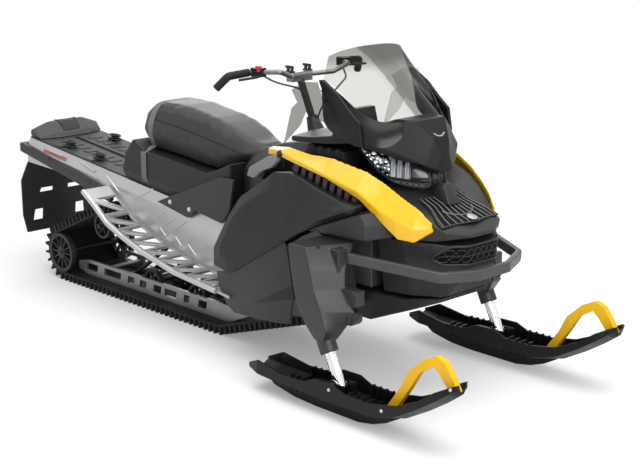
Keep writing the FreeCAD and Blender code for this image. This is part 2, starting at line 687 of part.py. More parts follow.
arm_outline = [(cowl(x), up(z)) for x, z in ARM_SHARES]
doc.recompute()
del nodes["pod_shell"]
pod_parts = []
for side in SIDES.values():
    near = out(ARM_INNER_SHARE * side).value
    corners = [Vector(x.value, near, z.value) for x, z in arm_outline]
    across = Vector(0, out((ARM_OUTER_SHARE - ARM_INNER_SHARE) * side).value, 0)
    pod_parts.append(Part.Face(Part.makePolygon(corners + corners[:1])).extrude(across))
plain_piece("windshield_pod", pod_shell.Shape.fuse(pod_parts))
give_way("windshield_pod", "headlamp_right", "headlamp_left")

# Windshield: a bowed clear sheet leaning back from the pod
SHIELD_LOW_SHARES = [(0.012, 0, 1.14), (-0.017, 0.1375, 1.128), (-0.052, 0.189, 1.12), (-0.11, 0.245, 1.133),
                     (-0.169, 0.287, 1.178), (-0.233, 0.308, 1.235), (-0.33, 0.316, 1.277)]
SHIELD_HIGH_SHARES = [(-0.3, 0, 1.403), (-0.302, 0.08, 1.402), (-0.307, 0.14, 1.398), (-0.314, 0.19, 1.392),
                      (-0.322, 0.225, 1.385), (-0.33, 0.25, 1.377), (-0.339, 0.2675, 1.37)]


def shield_edge(shares, wall):
    """Smooth edge of the sheet from its right end to its left end."""
    ends = [(x, -y, z) for x, y, z in reversed(shares[1:])] + shares
    curve = Part.BSplineCurve()
    curve.interpolate([vector(cowl(x) - wall, out(y), up(z)) for x, y, z in ends])
    return curve.toShape()


outer_edges = [shield_edge(shares, ZERO) for shares in (SHIELD_LOW_SHARES, SHIELD_HIGH_SHARES)]
inner_edges = [shield_edge(shares, S.sheet_wall) for shares in (SHIELD_LOW_SHARES, SHIELD_HIGH_SHARES)]
edge_pairs = [outer_edges, inner_edges] + list(zip(outer_edges, inner_edges))
shield_faces = [Part.makeRuledSurface(*pair) for pair in edge_pairs]
for end in (0, 1):
    corners = [edges[level].Vertexes[end].Point for edges, level in
               ((outer_edges, 0), (outer_edges, 1), (inner_edges, 1), (inner_edges, 0))]
    shield_faces.append(Part.Face(Part.makePolygon(corners + corners[:1])))
shield_shell = Part.makeShell(shield_faces)
shield_shell.sewShape()
shield = Part.makeSolid(shield_shell)
if shield.Volume < 0:
    shield.reverse()
doc.recompute()
shield_cut = shield.cut(nodes["windshield_pod"].Shape)
plain_piece("windshield", max(shield_cut.Solids, key=lambda solid: solid.Volume))

# Side deflectors beside the windshield
DEFLECTOR_PLACE_SHARE = 0.375
DEFLECTOR_SHARES = [
    (-0.471, 1.228), (-0.402, 1.268), (-0.319, 1.276), (-0.281, 1.187), (-0.235, 1.11), (-0.36, 1.13),
    (-0.388, 1.148), (-0.421, 1.087), (-0.521, 0.996), (-0.472, 1.152), (-0.437, 1.181),
]
STAND_OFF_SHARES = [(-0.312, 1.24), (-0.2935, 1.2)]
for side_name, side in SIDES.items():
    near = out(-DEFLECTOR_PLACE_SHARE) * side
    low, high = (near, near + S.sheet_wall) if side == LEFT else (near - S.sheet_wall, near)
    plate = padded_plate("deflector_plate", "XZ_Plane", [(cowl(x), up(z)) for x, z in DEFLECTOR_SHARES], low, high)
    doc.recompute()
    del nodes["deflector_plate"]
    arm_face, plate_face = out(ARM_OUTER_SHARE * side), out(DEFLECTOR_PLACE_SHARE * side)
    posts = [rod(vector(cowl(x), arm_face, up(z)), vector(cowl(x), plate_face, up(z)), S.cable_radius)
             for x, z in STAND_OFF_SHARES]
    plain_piece(f"side_deflector_{side_name}", plate.Shape.fuse(posts))

# Gauge on the dash behind the windshield
GAUGE_SHARES = [(-0.43, 1.05), (-0.35, 1.06), (-0.37, 1.13), (-0.4, 1.13)]
gauge_half = out(0.11)
padded_plate("gauge", "XZ_Plane", [(cowl(x), up(z)) for x, z in GAUGE_SHARES], -gauge_half, gauge_half)
give_way("gauge", "windshield_pod")

# Front bumper: a bar from leg to leg round the nose
FRONT_BAR_SHARES = [(-0.083, -0.5, 0.617), (0.306, -0.304, 0.577), (0.37, -0.11, 0.571), (0.37, 0.11, 0.571),
                    (0.306, 0.304, 0.577), (-0.083, 0.5, 0.617)]
bar_points = [vector(cowl(x), out(y), up(z)) for x, y, z in FRONT_BAR_SHARES]
bar_ahead = (bar_points[1] - bar_points[0]).normalize()
bar_side = bar_ahead.cross(Vector(0, 0, 1)).normalize()
bar_up = bar_side.cross(bar_ahead).normalize()
half_thick = S.bumper_bar_thickness.value / 2
FRONT_BAR_SHARE = 0.42
half_high = S.bumper_bar_height.value * FRONT_BAR_SHARE
bar_corners = [bar_points[0] + bar_side * (half_thick * a) + bar_up * (half_high * b)
               for a, b in ((-1, -1), (1, -1), (1, 1), (-1, 1), (-1, -1))]
front_bar = bent_path(bar_points, S.overrun * 2).makePipeShell([Part.makePolygon(bar_corners)], True, False)
plain_piece("front_bumper", front_bar)

# Strut axis: raked back, it meets the ground line just ahead of the ski bolt
STRUT_RAKE_SHARE = 0.497
strut_up = Vector(-STRUT_RAKE_SHARE, 0, 1).normalize()


def strut_point(side, height):
    """Point on the strut's turning axis at a height."""
    x = ski_station + S.strut_lead - (height - S.pivot_height) * STRUT_RAKE_SHARE
    return vector(x, S.ski_stance * 0.5 * side, height)


# Legs: cast housings with a narrow outer face and a broad one turned forward, bored for the struts
LEG_SHARES = [
    (0.296, -0.1, -0.05, -0.035, 0.575, 0.66), (0.347, -0.138, -0.02, 0.0, 0.56, 0.675),
    (0.42, -0.18, -0.053, 0.04, 0.548, 0.678), (0.5, -0.205, -0.088, -0.02, 0.54, 0.68),
    (0.58, -0.222, -0.11, -0.035, 0.52, 0.68), (0.668, -0.235, -0.135, -0.064, 0.42, 0.675),
]
COLLAR_ENDS = (up(0.245), up(0.345))
BORE_TOP_SHARE = 0.33
STRUT_TOP_SHARE = 0.32
BORE_FOOT_SHARE = 0.2
LEG_INNER_SHARES = (0.5, 0.56)
BOSS_PLACE_SHARE = (0.016, 0.39)
MOUNT_SHARES = ((-0.12, 0.57), (-0.045, 0.655))
KNUCKLE_SHARES = ((-0.06, 0.445), (0.055, 0.505))


def leg_block(side, corners):
    """Block on the inner side of a leg, between two corners in shares."""
    near, far = sorted(share * side for share in LEG_INNER_SHARES)
    (x_low, z_low), (x_high, z_high) = corners
    return block((cowl(x_low), out(near), up(z_low)), (cowl(x_high), out(far), up(z_high)))


for side_name, side in SIDES.items():
    casting = lofted(f"leg_casting_{side_name}", "XY_Plane", [
        (up(z), [(cowl(back), out(outer) * side), (cowl(shoulder), out(outer) * side),
                 (cowl(front), out(inner) * side), (cowl(back), out(inner) * side)])
        for z, back, shoulder, front, inner, outer in LEG_SHARES])
    doc.recompute()
    collar = rod(strut_point(side, COLLAR_ENDS[0]), strut_point(side, COLLAR_ENDS[1]), S.collar_radius)
    bore = rod(strut_point(side, up(BORE_FOOT_SHARE)), strut_point(side, up(BORE_TOP_SHARE)),
               S.strut_radius + S.running_gap)
    del nodes[f"leg_casting_{side_name}"]
    boss_x, boss_z = cowl(BOSS_PLACE_SHARE[0]), up(BOSS_PLACE_SHARE[1])
    boss_ends = [vector(boss_x, out(share * side), boss_z) for share in LEG_INNER_SHARES]
    boss = rod(*boss_ends, S.collar_radius * 0.8)
    blocks = [leg_block(side, MOUNT_SHARES), leg_block(side, KNUCKLE_SHARES)]
    plain_piece(f"leg_{side_name}", casting.Shape.fuse([collar, boss] + blocks).cut(bore))
    give_way(f"leg_{side_name}", f"lower_panel_{side_name}")
    give_way(f"front_cowl_{side_name}", f"leg_{side_name}")
give_way("front_bumper", "leg_right", "leg_left")

# Struts: round tubes with four flutes below the collar and an eye round the ski bolt
FLUTE_SHARES = (0.165, 0.235)
flute_deep = S.strut_radius.value * 0.25
for side_name, side in SIDES.items():
    stance = S.ski_stance * 0.5 * side
    eye_half = S.strut_radius * 1.1
    eye_near = vector(ski_station, stance - eye_half, S.pivot_height)
    eye_far = vector(ski_station, stance + eye_half, S.pivot_height)
    tube = rod(strut_point(side, S.pivot_height), strut_point(side, up(STRUT_TOP_SHARE)), S.strut_radius)
    flute_low, flute_high = (strut_point(side, up(share)) for share in FLUTE_SHARES)
    flute_long = (flute_high - flute_low).Length
    core = rod(flute_low, flute_high, S.strut_radius * 0.75)
    for turn in (0, 90):
        flute = Part.makeBox(flute_deep, S.strut_radius.value * 3, flute_long)
        flute.translate(Vector(-flute_deep / 2, -S.strut_radius.value * 1.5, 0))
        flute.rotate(Vector(0, 0, 0), Vector(0, 0, 1), turn)
        flute.Placement = Placement(flute_low, Rotation(Vector(0, 0, 1), strut_up)).multiply(flute.Placement)
        tube = tube.cut(flute.cut(core))
    eye = rod(eye_near, eye_far, S.strut_radius * 1.3)
    hole = rod(eye_near, eye_far, S.pivot_bolt + S.running_gap * 0.5)
    plain_piece(f"strut_{side_name}", tube.fuse(eye).cut(hole))

# Skis: keeled channels with a bolt across two cheeks
SKI_SHARES = [
    (-0.47, 0.36, 0.07, 0.112), (-0.4, 0.47, 0.058, 0.142), (-0.25, 0.5, 0.054, 0.12),
    (-0.12, 0.5, 0.054, 0.125), (-0.05, 0.5, 0.054, 0.154), (0.05, 0.5, 0.054, 0.156),
    (0.11, 0.5, 0.054, 0.133), (0.25, 0.5, 0.055, 0.133), (0.376, 0.5, 0.088, 0.156),
    (0.49, 0.5, 0.15, 0.206), (0.572, 0.47, 0.202, 0.262),
    (0.622, 0.34, 0.238, 0.288), (0.645, 0.16, 0.256, 0.296),
]
KEEL_SHARES = [(-0.42, 0.06), (-0.37, 0.028), (-0.25, 0.006), (-0.12, 0), (0.12, 0), (0.2, 0.014), (0.27, 0.038),
               (0.34, 0.076), (0.3, 0.08), (-0.3, 0.062)]
RIB_SHARES = [(-0.205, 0.122), (-0.17, 0.123), (-0.135, 0.124), (0.13, 0.133), (0.165, 0.133), (0.2, 0.133),
              (0.235, 0.133)]
RIB_FOOT_SHARE = 0.066
RIB_NOTCH_SHARE = 0.095
CHEEK_SHARES = (0.07, 0.05, 0.025)


def ski_section(side, half_share, floor_share, rim):
    """Channel outline: floor falling to the middle, upright walls."""
    middle = S.ski_stance * 0.5 * side
    half = S.ski_width * half_share
    keel = S.keel_width * 0.5
    wall = S.ski_wall
    floor = up(floor_share)
    chine = floor + up(0.024)
    right = [(keel, floor), (half, chine), (half, up(rim)),
             (half - wall, up(rim)), (half - wall, chine + wall), (keel, floor + wall)]
    return [(middle + y, z) for y, z in right] + [(middle - y, z) for y, z in reversed(right)]


for side_name, side in SIDES.items():
    shell = lofted(f"ski_shell_{side_name}", "YZ_Plane", [
        (cowl(share), ski_section(side, half, floor, rim)) for share, half, floor, rim in SKI_SHARES])
    stance = S.ski_stance * 0.5 * side
    keel = padded_plate(f"ski_keel_{side_name}", "XZ_Plane", [(cowl(x), up(z)) for x, z in KEEL_SHARES],
                        -stance - S.keel_width * 0.5, -stance + S.keel_width * 0.5)
    doc.recompute()
    del nodes[f"ski_shell_{side_name}"]
    del nodes[f"ski_keel_{side_name}"]
    cheek_in = S.strut_radius * 1.1 + S.loose_gap
    cheek_out = cheek_in + S.ski_wall
    solid = shell.Shape.fuse(keel.Shape)
    for hand in (RIGHT, LEFT):
        low, high = sorted((cheek_in * hand, cheek_out * hand), key=lambda length: length.value)
        cheek_reach, cheek_foot, cheek_rise = CHEEK_SHARES
        cheek = block((cowl(-cheek_reach), stance + low, up(cheek_foot)),
                      (cowl(cheek_reach), stance + high, S.pivot_height + up(cheek_rise)))
        solid = solid.fuse(cheek)
    rib_half = S.ski_width * 0.5 - S.ski_wall * 0.5
    for share, rim_share in RIB_SHARES:
        rib_top = up(rim_share) + S.ski_wall
        rib_plate = block((cowl(share), stance - rib_half, up(RIB_FOOT_SHARE)),
                          (cowl(share) + S.ski_wall * 0.6, stance + rib_half, rib_top))
        notch = block((cowl(share) - S.overrun, stance - rib_half * 0.6, up(RIB_NOTCH_SHARE)),
                      (cowl(share) + S.overrun, stance + rib_half * 0.6, rib_top + S.overrun))
        solid = solid.fuse(rib_plate.cut(notch))
    bolt = rod(vector(ski_station, stance - cheek_out * 1.2, S.pivot_height),
               vector(ski_station, stance + cheek_out * 1.2, S.pivot_height), S.pivot_bolt)
    plain_piece(f"ski_{side_name}", solid.fuse(bolt))

# Ski loops: bent yellow handles at the tips
LOOP_SHARES = [
    (0.264, 0.06), (0.264, 0.093), (0.346, 0.205), (0.385, 0.28), (0.459, 0.346), (0.523, 0.376), (0.567, 0.362),
    (0.608, 0.307), (0.635, 0.262), (0.59, 0.2), (0.575, 0.205), (0.585, 0.22), (0.58, 0.268), (0.544, 0.309),
    (0.514, 0.333), (0.446, 0.292), (0.397, 0.215), (0.337, 0.13), (0.337, 0.06),
]
for side_name, side in SIDES.items():
    stance = S.ski_stance * 0.5 * side
    loop = padded_plate(f"ski_loop_{side_name}", "XZ_Plane", [(cowl(x), up(z)) for x, z in LOOP_SHARES],
                        -stance - S.loop_width * 0.5, -stance + S.loop_width * 0.5)
    doc.recompute()
    loop.Label = f"ski_loop_form_{side_name}"
    seated = loop.Shape.cut(nodes[f"ski_{side_name}"].Shape)
    plain_piece(f"ski_loop_{side_name}", max(seated.Solids, key=lambda solid: solid.Volume))

# Track: one closed belt round the wheels, with lugs all along its outside
belt = S.belt_thickness
wheel_centre = (rear(0.8293), S.lug_height + belt + S.wheel_radius)
sprocket_centre = (cowl(-0.52), up(0.325))
ramp_radius = S.small_wheel_radius
ramp_centre = (cowl(-1.1), S.lug_height + belt + ramp_radius)
idler_centre = (rear(0.6), up(0.36))
TRACK_ROUND = [(wheel_centre, S.wheel_radius), (ramp_centre, ramp_radius), (sprocket_centre, S.sprocket_radius),
               (idler_centre, S.small_wheel_radius)]


def belt_runs(extra):
    """Tangent runs of the belt, going forward below and back above, with their circles."""
    circles = [(Vector(x.value, 0, z.value), radius.value + extra) for (x, z), radius in TRACK_ROUND]
    runs = []
    for number, (centre, radius) in enumerate(circles):
        following, next_radius = circles[(number + 1) % len(circles)]
        span = following - centre
        heading = math.atan2(span.z, span.x)
        lean = math.asin((radius - next_radius) / span.Length)
        outward = heading - math.pi / 2 + lean
        normal = Vector(math.cos(outward), 0, math.sin(outward))
        runs.append((centre + normal * radius, following + normal * next_radius, centre, radius))
    return runs


def belt_face(extra):
    """Face inside the belt line at a distance outside the wheels."""
    edges = []
    runs = belt_runs(extra)
    for number, (start, end, centre, radius) in enumerate(runs):
        previous_end = runs[number - 1][1]
        middle = ((previous_end - centre) + (start - centre)).normalize()
        edges.append(Part.Arc(previous_end, centre + middle * radius, start).toShape())
        edges.append(Part.LineSegment(start, end).toShape())
    return Part.Face(Part.Wire(edges))


def belt_places(spacing, extra):
    """Points and outward directions at even steps round the belt line."""
    wire = belt_face(extra).OuterWire
    count = int(wire.Length / spacing)
    points = wire.discretize(Number=count + 1)[:-1]
    places = []
    for number, point in enumerate(points):
        along = (points[(number + 1) % count] - points[number - 1]).normalize()
        outward = Vector(along.z, 0, -along.x)
        places.append((point, along, outward))
    return places


LUG_FOOT_SHARE = 0.28
LUG_TIP_SHARE = 0.13


def lug(point, along, outward, low, high, rise):
    """Tapered paddle across part of the belt's width."""
    foot = rise * LUG_FOOT_SHARE
    tip = rise * LUG_TIP_SHARE
    corners = [point - along * foot - outward, point - along * tip + outward * rise,
               point + along * tip + outward * rise, point + along * foot - outward]
    face = Part.Face(Part.makePolygon(corners + corners[:1]))
    face.translate(Vector(0, low, 0))
    return face.extrude(Vector(0, high - low, 0))


half_track = S.track_width.value / 2
outer_line = belt_face(belt.value)
inner_line = belt_face(0)
belt_ring = outer_line.cut(inner_line)
belt_ring.translate(Vector(0, -half_track, 0))
belt_solid = belt_ring.extrude(Vector(0, 2 * half_track, 0))
lugs = []
LUG_BAND_SHARES = {0: [(-0.98, -0.42), (0.42, 0.98)], 1: [(-0.98, 0.98)]}
for number, (point, along, outward) in enumerate(belt_places(S.lug_pitch.value / 2, belt.value)):
    for low, high in LUG_BAND_SHARES[number % 2]:
        lugs.append(lug(point, along, outward, low * half_track, high * half_track, S.lug_height.value))
plain_piece("track", belt_solid.fuse(lugs))

# Slide rails inside the track with their cross bars
half_rail = S.rail_thickness * 0.5
rail_foot = S.lug_height + belt + S.seat_gap
rail_top = rail_foot + S.rail_height
RAIL_SHARES = [(-1.1, 0), (-1.07, 0.1), (-1.0, 0.48), (-0.95, 0.74), (-0.93, 0.98), (-0.96, 1.2), (-1.05, 1.0),
               (-2.2, 1.0), (-2.3, 0.75), (-2.3, 0.25), (-2.22, 0)]
rail_outline = [(cowl(x), rail_foot + S.rail_height * z) for x, z in RAIL_SHARES]
RAIL_WINDOW_SHARES = [(-2.24, -2.13), (-2.08, -1.93), (-1.88, -1.82), (-1.78, -1.72), (-1.67, -1.6), (-1.58, -1.48),
                      (-1.43, -1.38), (-1.32, -1.25)]
RAIL_WINDOW_HEIGHTS = (0.3, 0.78)
rail_half_cut = half_rail + S.running_gap
rails = []
for side in SIDES.values():
    centre = S.rail_spacing * 0.5 * side
    corners = [vector(x, centre - half_rail, z) for x, z in rail_outline]
    face = Part.Face(Part.makePolygon(corners + corners[:1]))
    rail = face.extrude(Vector(0, S.rail_thickness.value, 0))
    for start_share, end_share in RAIL_WINDOW_SHARES:
        low_z, high_z = (rail_foot + S.rail_height * share for share in RAIL_WINDOW_HEIGHTS)
        lean = S.rail_thickness * 0.5
        corners = [vector(x, centre - rail_half_cut, z) for x, z in (
            (cowl(start_share), low_z), (cowl(end_share) - lean, low_z), (cowl(end_share), high_z),
            (cowl(start_share) + lean, high_z))]
        window = Part.Face(Part.makePolygon(corners + corners[:1]))
        rail = rail.cut(window.extrude(Vector(0, 2 * rail_half_cut.value, 0)))
    rails.append(rail)
RAIL_BAR_SHARES = (-1.45, -1.8, -2.1)
RAIL_BAR_HEIGHT_SHARE = 0.6
for share in RAIL_BAR_SHARES:
    height = rail_foot + S.rail_height * RAIL_BAR_HEIGHT_SHARE
    reach = S.rail_spacing * 0.5
    rails.append(rod(vector(cowl(share), -reach, height), vector(cowl(share), reach, height), S.axle_radius))
plain_piece("slide_rails", rails[0].fuse(rails[1:]))

# Idler wheels: spoked rear wheels on one axle, small wheels beside the rails, upper rollers
RIM_SHARE = 0.82
HUB_SHARE = 0.3
SPOKE_SHARES = (0.25, 0.85, 0.7, 0.07)


def wheel(centre, y, radius, spokes):
    """Spoked wheel with a rim, a hub and radial arms."""
    width = S.wheel_width.value
    start = Vector(centre[0].value, y - width / 2, centre[1].value)
    across = Vector(0, 1, 0)
    bore = Part.makeCylinder(radius * RIM_SHARE, width, start, across)
    rim = Part.makeCylinder(radius, width, start, across).cut(bore)
    hub = Part.makeCylinder(radius * HUB_SHARE, width, start, across)
    parts = [hub]
    spoke_start, spoke_end = radius * SPOKE_SHARES[0], radius * SPOKE_SHARES[1]
    spoke_wide, spoke_thick = width * SPOKE_SHARES[2], radius * SPOKE_SHARES[3]
    for number in range(spokes):
        arm = Part.makeBox(spoke_end - spoke_start, spoke_wide, spoke_thick)
        arm.translate(Vector(spoke_start, -spoke_wide / 2, -spoke_thick / 2))
        arm.rotate(Vector(0, 0, 0), across, 360 / spokes * number)
        arm.translate(Vector(centre[0].value, y, centre[1].value))
        parts.append(arm)
    return rim.fuse(parts)


REAR_SPOKES = 12
SMALL_SPOKES = 6
wheel_pieces = []
belt_clear = S.seat_gap.value
outer_wheel = half_track - S.wheel_width.value / 2
for y in (-outer_wheel, outer_wheel):
    wheel_pieces.append(wheel(wheel_centre, y, S.wheel_radius.value - belt_clear, REAR_SPOKES))
axle_end = outer_wheel + S.wheel_width.value * 0.7
axle = rod(Vector(wheel_centre[0].value, -axle_end, wheel_centre[1].value),
           Vector(wheel_centre[0].value, axle_end, wheel_centre[1].value), S.axle_radius)
groups = [wheel_pieces[0].fuse(wheel_pieces[1:] + [axle])]
small_centre_height = S.lug_height + belt + S.small_wheel_radius
inner_place = (S.rail_spacing * 0.5 - S.wheel_width).value
SMALL_SET_SHARES = (-1.35, -1.7)
small_sets = [((cowl(share), small_centre_height), inner_place) for share in SMALL_SET_SHARES]
small_sets += [(idler_centre, outer_wheel), (ramp_centre, inner_place)]
for centre, place in small_sets:
    small_radius = S.small_wheel_radius.value - belt_clear
    pair = [wheel(centre, place * side, small_radius, SMALL_SPOKES) for side in SIDES.values()]
    reach = place + S.wheel_width.value * 1.2
    bar = rod(Vector(centre[0].value, -reach, centre[1].value), Vector(centre[0].value, reach, centre[1].value),
              S.axle_radius)
    groups.append(pair[0].fuse([pair[1], bar]))
plain_piece("idler_wheels", Part.makeCompound(groups))
give_way("slide_rails", "idler_wheels")

# Suspension: arms from the rails up to the tunnel and the rear shock
arm_half = S.rail_spacing * 0.24
rail_inside = S.rail_spacing * 0.5 - half_rail
mount_half = half_tunnel - S.sheet_wall
arm_low = rail_top - S.axle_radius * 2
ARM_SHARE_ROWS = [(-1.22, -0.78, 0.36), (-1.9, -1.5, 0.385)]
arms = []
for low_share, high_share, high_z in ARM_SHARE_ROWS:
    for side in SIDES.values():
        arms.append(rod(vector(cowl(low_share), arm_half * side, arm_low),
                        vector(cowl(high_share), arm_half * side, up(high_z)), S.axle_radius))
    for share, height, half in ((low_share, arm_low, rail_inside), (high_share, up(high_z), mount_half)):
        arms.append(rod(vector(cowl(share), -half, height), vector(cowl(share), half, height), S.axle_radius))
shock_low = vector(cowl(ARM_SHARE_ROWS[0][0]), ZERO, arm_low)
shock_high = vector(cowl(ARM_SHARE_ROWS[1][1]), ZERO, up(ARM_SHARE_ROWS[1][2]))
arms.append(rod(shock_low, shock_high, S.strut_radius))
plain_piece("suspension_arms", arms[0].fuse(arms[1:]))

# Hitch: a pierced tongue under the rear bumper
hitch_height = up(0.655)
hitch_top = up(0.7)
hitch_half = S.overrun * 1.5
tongue = block((rear(1) - S.hitch_reach, -hitch_half, hitch_height),
               (rear(1), hitch_half, hitch_height + S.flap_thickness))
pin_x = rear(1) - S.hitch_reach * 0.5
pin = rod(vector(pin_x, ZERO, hitch_height), vector(pin_x, ZERO, hitch_height + S.flap_thickness), S.hitch_bore)
plate = block((rear(1) - S.flap_thickness, -hitch_half, hitch_height), (rear(1), hitch_half, hitch_top))
plain_piece("hitch", tongue.cut(pin).fuse(plate))

# Rear lights: the lamp over the bumper and a reflector on each shoulder of the tunnel
lamp_half = out(0.12)
LAMP_HEIGHT_SHARES = (0.704, 0.735)
LAMP_FRONT_SHARE = 0.99
lamp = block((rear(1) - S.flap_thickness, -lamp_half, up(LAMP_HEIGHT_SHARES[0])),
             (rear(LAMP_FRONT_SHARE), lamp_half, up(LAMP_HEIGHT_SHARES[1])))
lights = [lamp]
REFLECTOR_SHARES = [(0.77, 0.2), (0.89, 0.2), (0.89, 0.5), (0.77, 0.55)]
for side in SIDES.values():
    slope = Vector(0, -S.tunnel_chamfer.value * SHOULDER_SHARE * side, S.tunnel_chamfer.value)
    outward = Vector(0, slope.z * side, -slope.y * side).normalize()
    corners = []
    for x, rise_share in REFLECTOR_SHARES:
        edge = vector(rear(x), half_tunnel * side, tunnel_top(rear(x)) - S.tunnel_chamfer)
        corners.append(edge + slope * rise_share)
    lights.append(Part.Face(Part.makePolygon(corners + corners[:1])).extrude(outward * S.sheet_wall.value))
plain_piece("rear_lights", Part.makeCompound(lights))

# Steering: a raked post in its boot, the riser block and the bar
post = rod(post_low, post_top, S.post_radius)
boot_start = S.post_radius.value * 4
boot_length = S.post_radius.value * 4.4
boot = Part.makeCone(S.post_radius.value * 2.4, S.post_radius.value * 1.5, boot_length,
                     post_low + post_up * boot_start, post_up)
plain_piece("steering_post", post.fuse(boot))
BAR_SHARES = [(0.045, 0.143, 0.024), (0.2, 0.3, 0.048), (0.236, 0.476, 0.117), (-0.029, 0.643, 0.107),
              (-0.048, 0.93, 0.09), (-0.14, 1, -0.026)]
bar_half = S.handlebar_width * 0.5


def from_post(shares):
    """Points placed from the top of the post, in shares of half the bar's width."""
    return [post_top + Vector(x, y, z) * bar_half.value for x, y, z in shares]


bar_left = from_post(BAR_SHARES)


def mirrored(points):
    return [Vector(point.x, -point.y, point.z) for point in points]


handlebar = bent_rod(list(reversed(mirrored(bar_left))) + bar_left, S.overrun, S.bar_radius)
riser_half = bar_half.value * 0.14
riser_side = S.post_radius.value * 2.6
riser_drop = S.post_radius.value * 1.1
riser = Part.makeBox(riser_side, riser_half * 2, riser_side)
riser.translate(post_top - Vector(riser_side / 2, riser_half, riser_drop))
plain_piece("handlebar", handlebar.fuse(riser))
give_way("handlebar", "steering_post")

# Grips with hooked ends over the bar
GRIP_START_SHARE = 0.12
grips = []
for side in SIDES.values():
    line = bar_left[3:] if side == LEFT else mirrored(bar_left[3:])
    start = line[0] + (line[1] - line[0]) * GRIP_START_SHARE
    tip = line[2] + (line[2] - line[1]).normalize() * S.bar_radius.value * 0.5
    grips.append(bent_rod([start, line[1], tip], S.overrun, S.grip_radius).cut(handlebar))
plain_piece("grips", Part.makeCompound(grips))

# Controls: clamp blocks beside the grips with a lever ahead of each
LEVER_SHARES = [(0.06, 0.6, 0.08), (0.117, 0.686, 0.074), (0.081, 0.895, 0.062)]
CLAMP_PLACE_SHARE = 0.22
clamp_size = Vector(3, 2.6, 2.2) * S.grip_radius.value
clamp_corner = Vector(1.2, 1.3, 1.1) * S.grip_radius.value
for side_name, side in SIDES.items():
    clamp_at = bar_left[3] + (bar_left[2] - bar_left[3]) * CLAMP_PLACE_SHARE
    lever_line = from_post(LEVER_SHARES)
    if side == RIGHT:
        clamp_at, lever_line = mirrored([clamp_at])[0], mirrored(lever_line)
    clamp = Part.makeBox(*clamp_size)
    clamp.translate(clamp_at - clamp_corner)
    lever = bent_rod(lever_line, S.overrun, S.bar_radius * 0.5)
    plain_piece(f"controls_{side_name}", clamp.fuse(lever).cut(handlebar))

# Control cables from the clamp blocks down into the boot
CABLE_SHARES = [(0.08, 0.52, 0.03), (0.15, 0.5, 0.0), (0.27, 0.42, -0.02), (0.32, 0.31, -0.05),
                (0.31, 0.2, -0.14), (0.25, 0.12, -0.26), (0.22, 0.07, -0.36), (0.22, 0.03, -0.47)]
cables = []
for side in SIDES.values():
    line = from_post(CABLE_SHARES)
    line = line if side == LEFT else mirrored(line)
    cables.append(bent_rod(line, S.overrun, S.cable_radius))
plain_piece("control_cables", Part.makeCompound(cables))
give_way("control_cables", "steering_post", "handlebar", "controls_right", "controls_left")

# Grab strap over the seat
STRAP_SHARES = [(0.275, 0.655), (0.275, 0.808), (0.2425, 0.845), (0.2425, 0.885), (0.166, 1.03)]
strap_place = cowl(-1.6)
strap_right = [(out(y), up(z)) for y, z in STRAP_SHARES]
strap_over = [(-y, z) for y, z in strap_right] + list(reversed(strap_right))
STRAP_INSIDE_SHARE = 0.985
strap_under = [(y * STRAP_INSIDE_SHARE, z - S.sheet_wall) for y, z in reversed(strap_over)]
padded_plate("seat_strap", "YZ_Plane", strap_over + strap_under, strap_place - S.strap_width * 0.5,
             strap_place + S.strap_width * 0.5)
give_way("seat_strap", "seat_cushion", "seat_base")

# Vents: ribbed strips between the side panels and the yellow panels
VENT_SHARES = [(-0.46, 0.9), (-0.44, 0.932), (-0.342, 0.922), (-0.247, 0.9), (-0.104, 0.857), (-0.04, 0.826),
               (-0.13, 0.824), (-0.26, 0.85), (-0.37, 0.88)]
VENT_LOUVRES = 9
vent_place = out(0.36).value
vent_depth = out(0.06).value
louvre_start = cowl(-0.45)
louvre_foot = up(0.8)
louvre_rise = up(0.16).value
louvre_pitch = (cowl(-0.05) - louvre_start) * (1 / VENT_LOUVRES)
vents = []
for side in SIDES.values():
    near = vent_place * side
    corners = [Vector(cowl(x).value, near, up(z).value) for x, z in VENT_SHARES]
    strip = Part.Face(Part.makePolygon(corners + corners[:1]))
    band = strip.extrude(Vector(0, vent_depth * side, 0))
    blades = [strip.extrude(Vector(0, vent_depth / 2 * side, 0))]
    for number in range(VENT_LOUVRES):
        foot = Vector((louvre_start + louvre_pitch * number).value, near, louvre_foot.value)
        lean = Vector(louvre_pitch.value, 0, louvre_rise)
        wide = Vector(louvre_pitch.value * 0.55, 0, 0)
        blade = Part.Face(Part.makePolygon([foot, foot + wide, foot + wide + lean, foot + lean, foot]))
        blades.append(blade.extrude(Vector(0, vent_depth * side, 0)).common(band))
    vents.append(blades[0].fuse(blades[1:]))
plain_piece("side_vents", Part.makeCompound(vents))
give_way("side_vents", "side_panel_right", "side_panel_left", "hood_panel_right", "hood_panel_left", "hood")
for side_name in SIDES:
    give_way(f"front_cowl_{side_name}", "side_vents")

# Checks and files
doc.recompute()
os.makedirs("parts", exist_ok=True)
for item in doc.Objects:
    if "Invalid" in item.State or "Error" in item.State:
        raise RuntimeError(f"{item.Label} failed: {item.State}")
for label, piece in nodes.items():
    if piece.Label != label:
        raise RuntimeError(f"{label} is labelled {piece.Label}")
    if piece.Shape.isNull() or not piece.Shape.isValid():
        raise RuntimeError(f"{label} has no valid shape")
    piece.Shape.exportStep(f"parts/{label}.step")
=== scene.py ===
import math
import bpy
from mathutils import Matrix, Vector
from mathutils.bvhtree import BVHTree


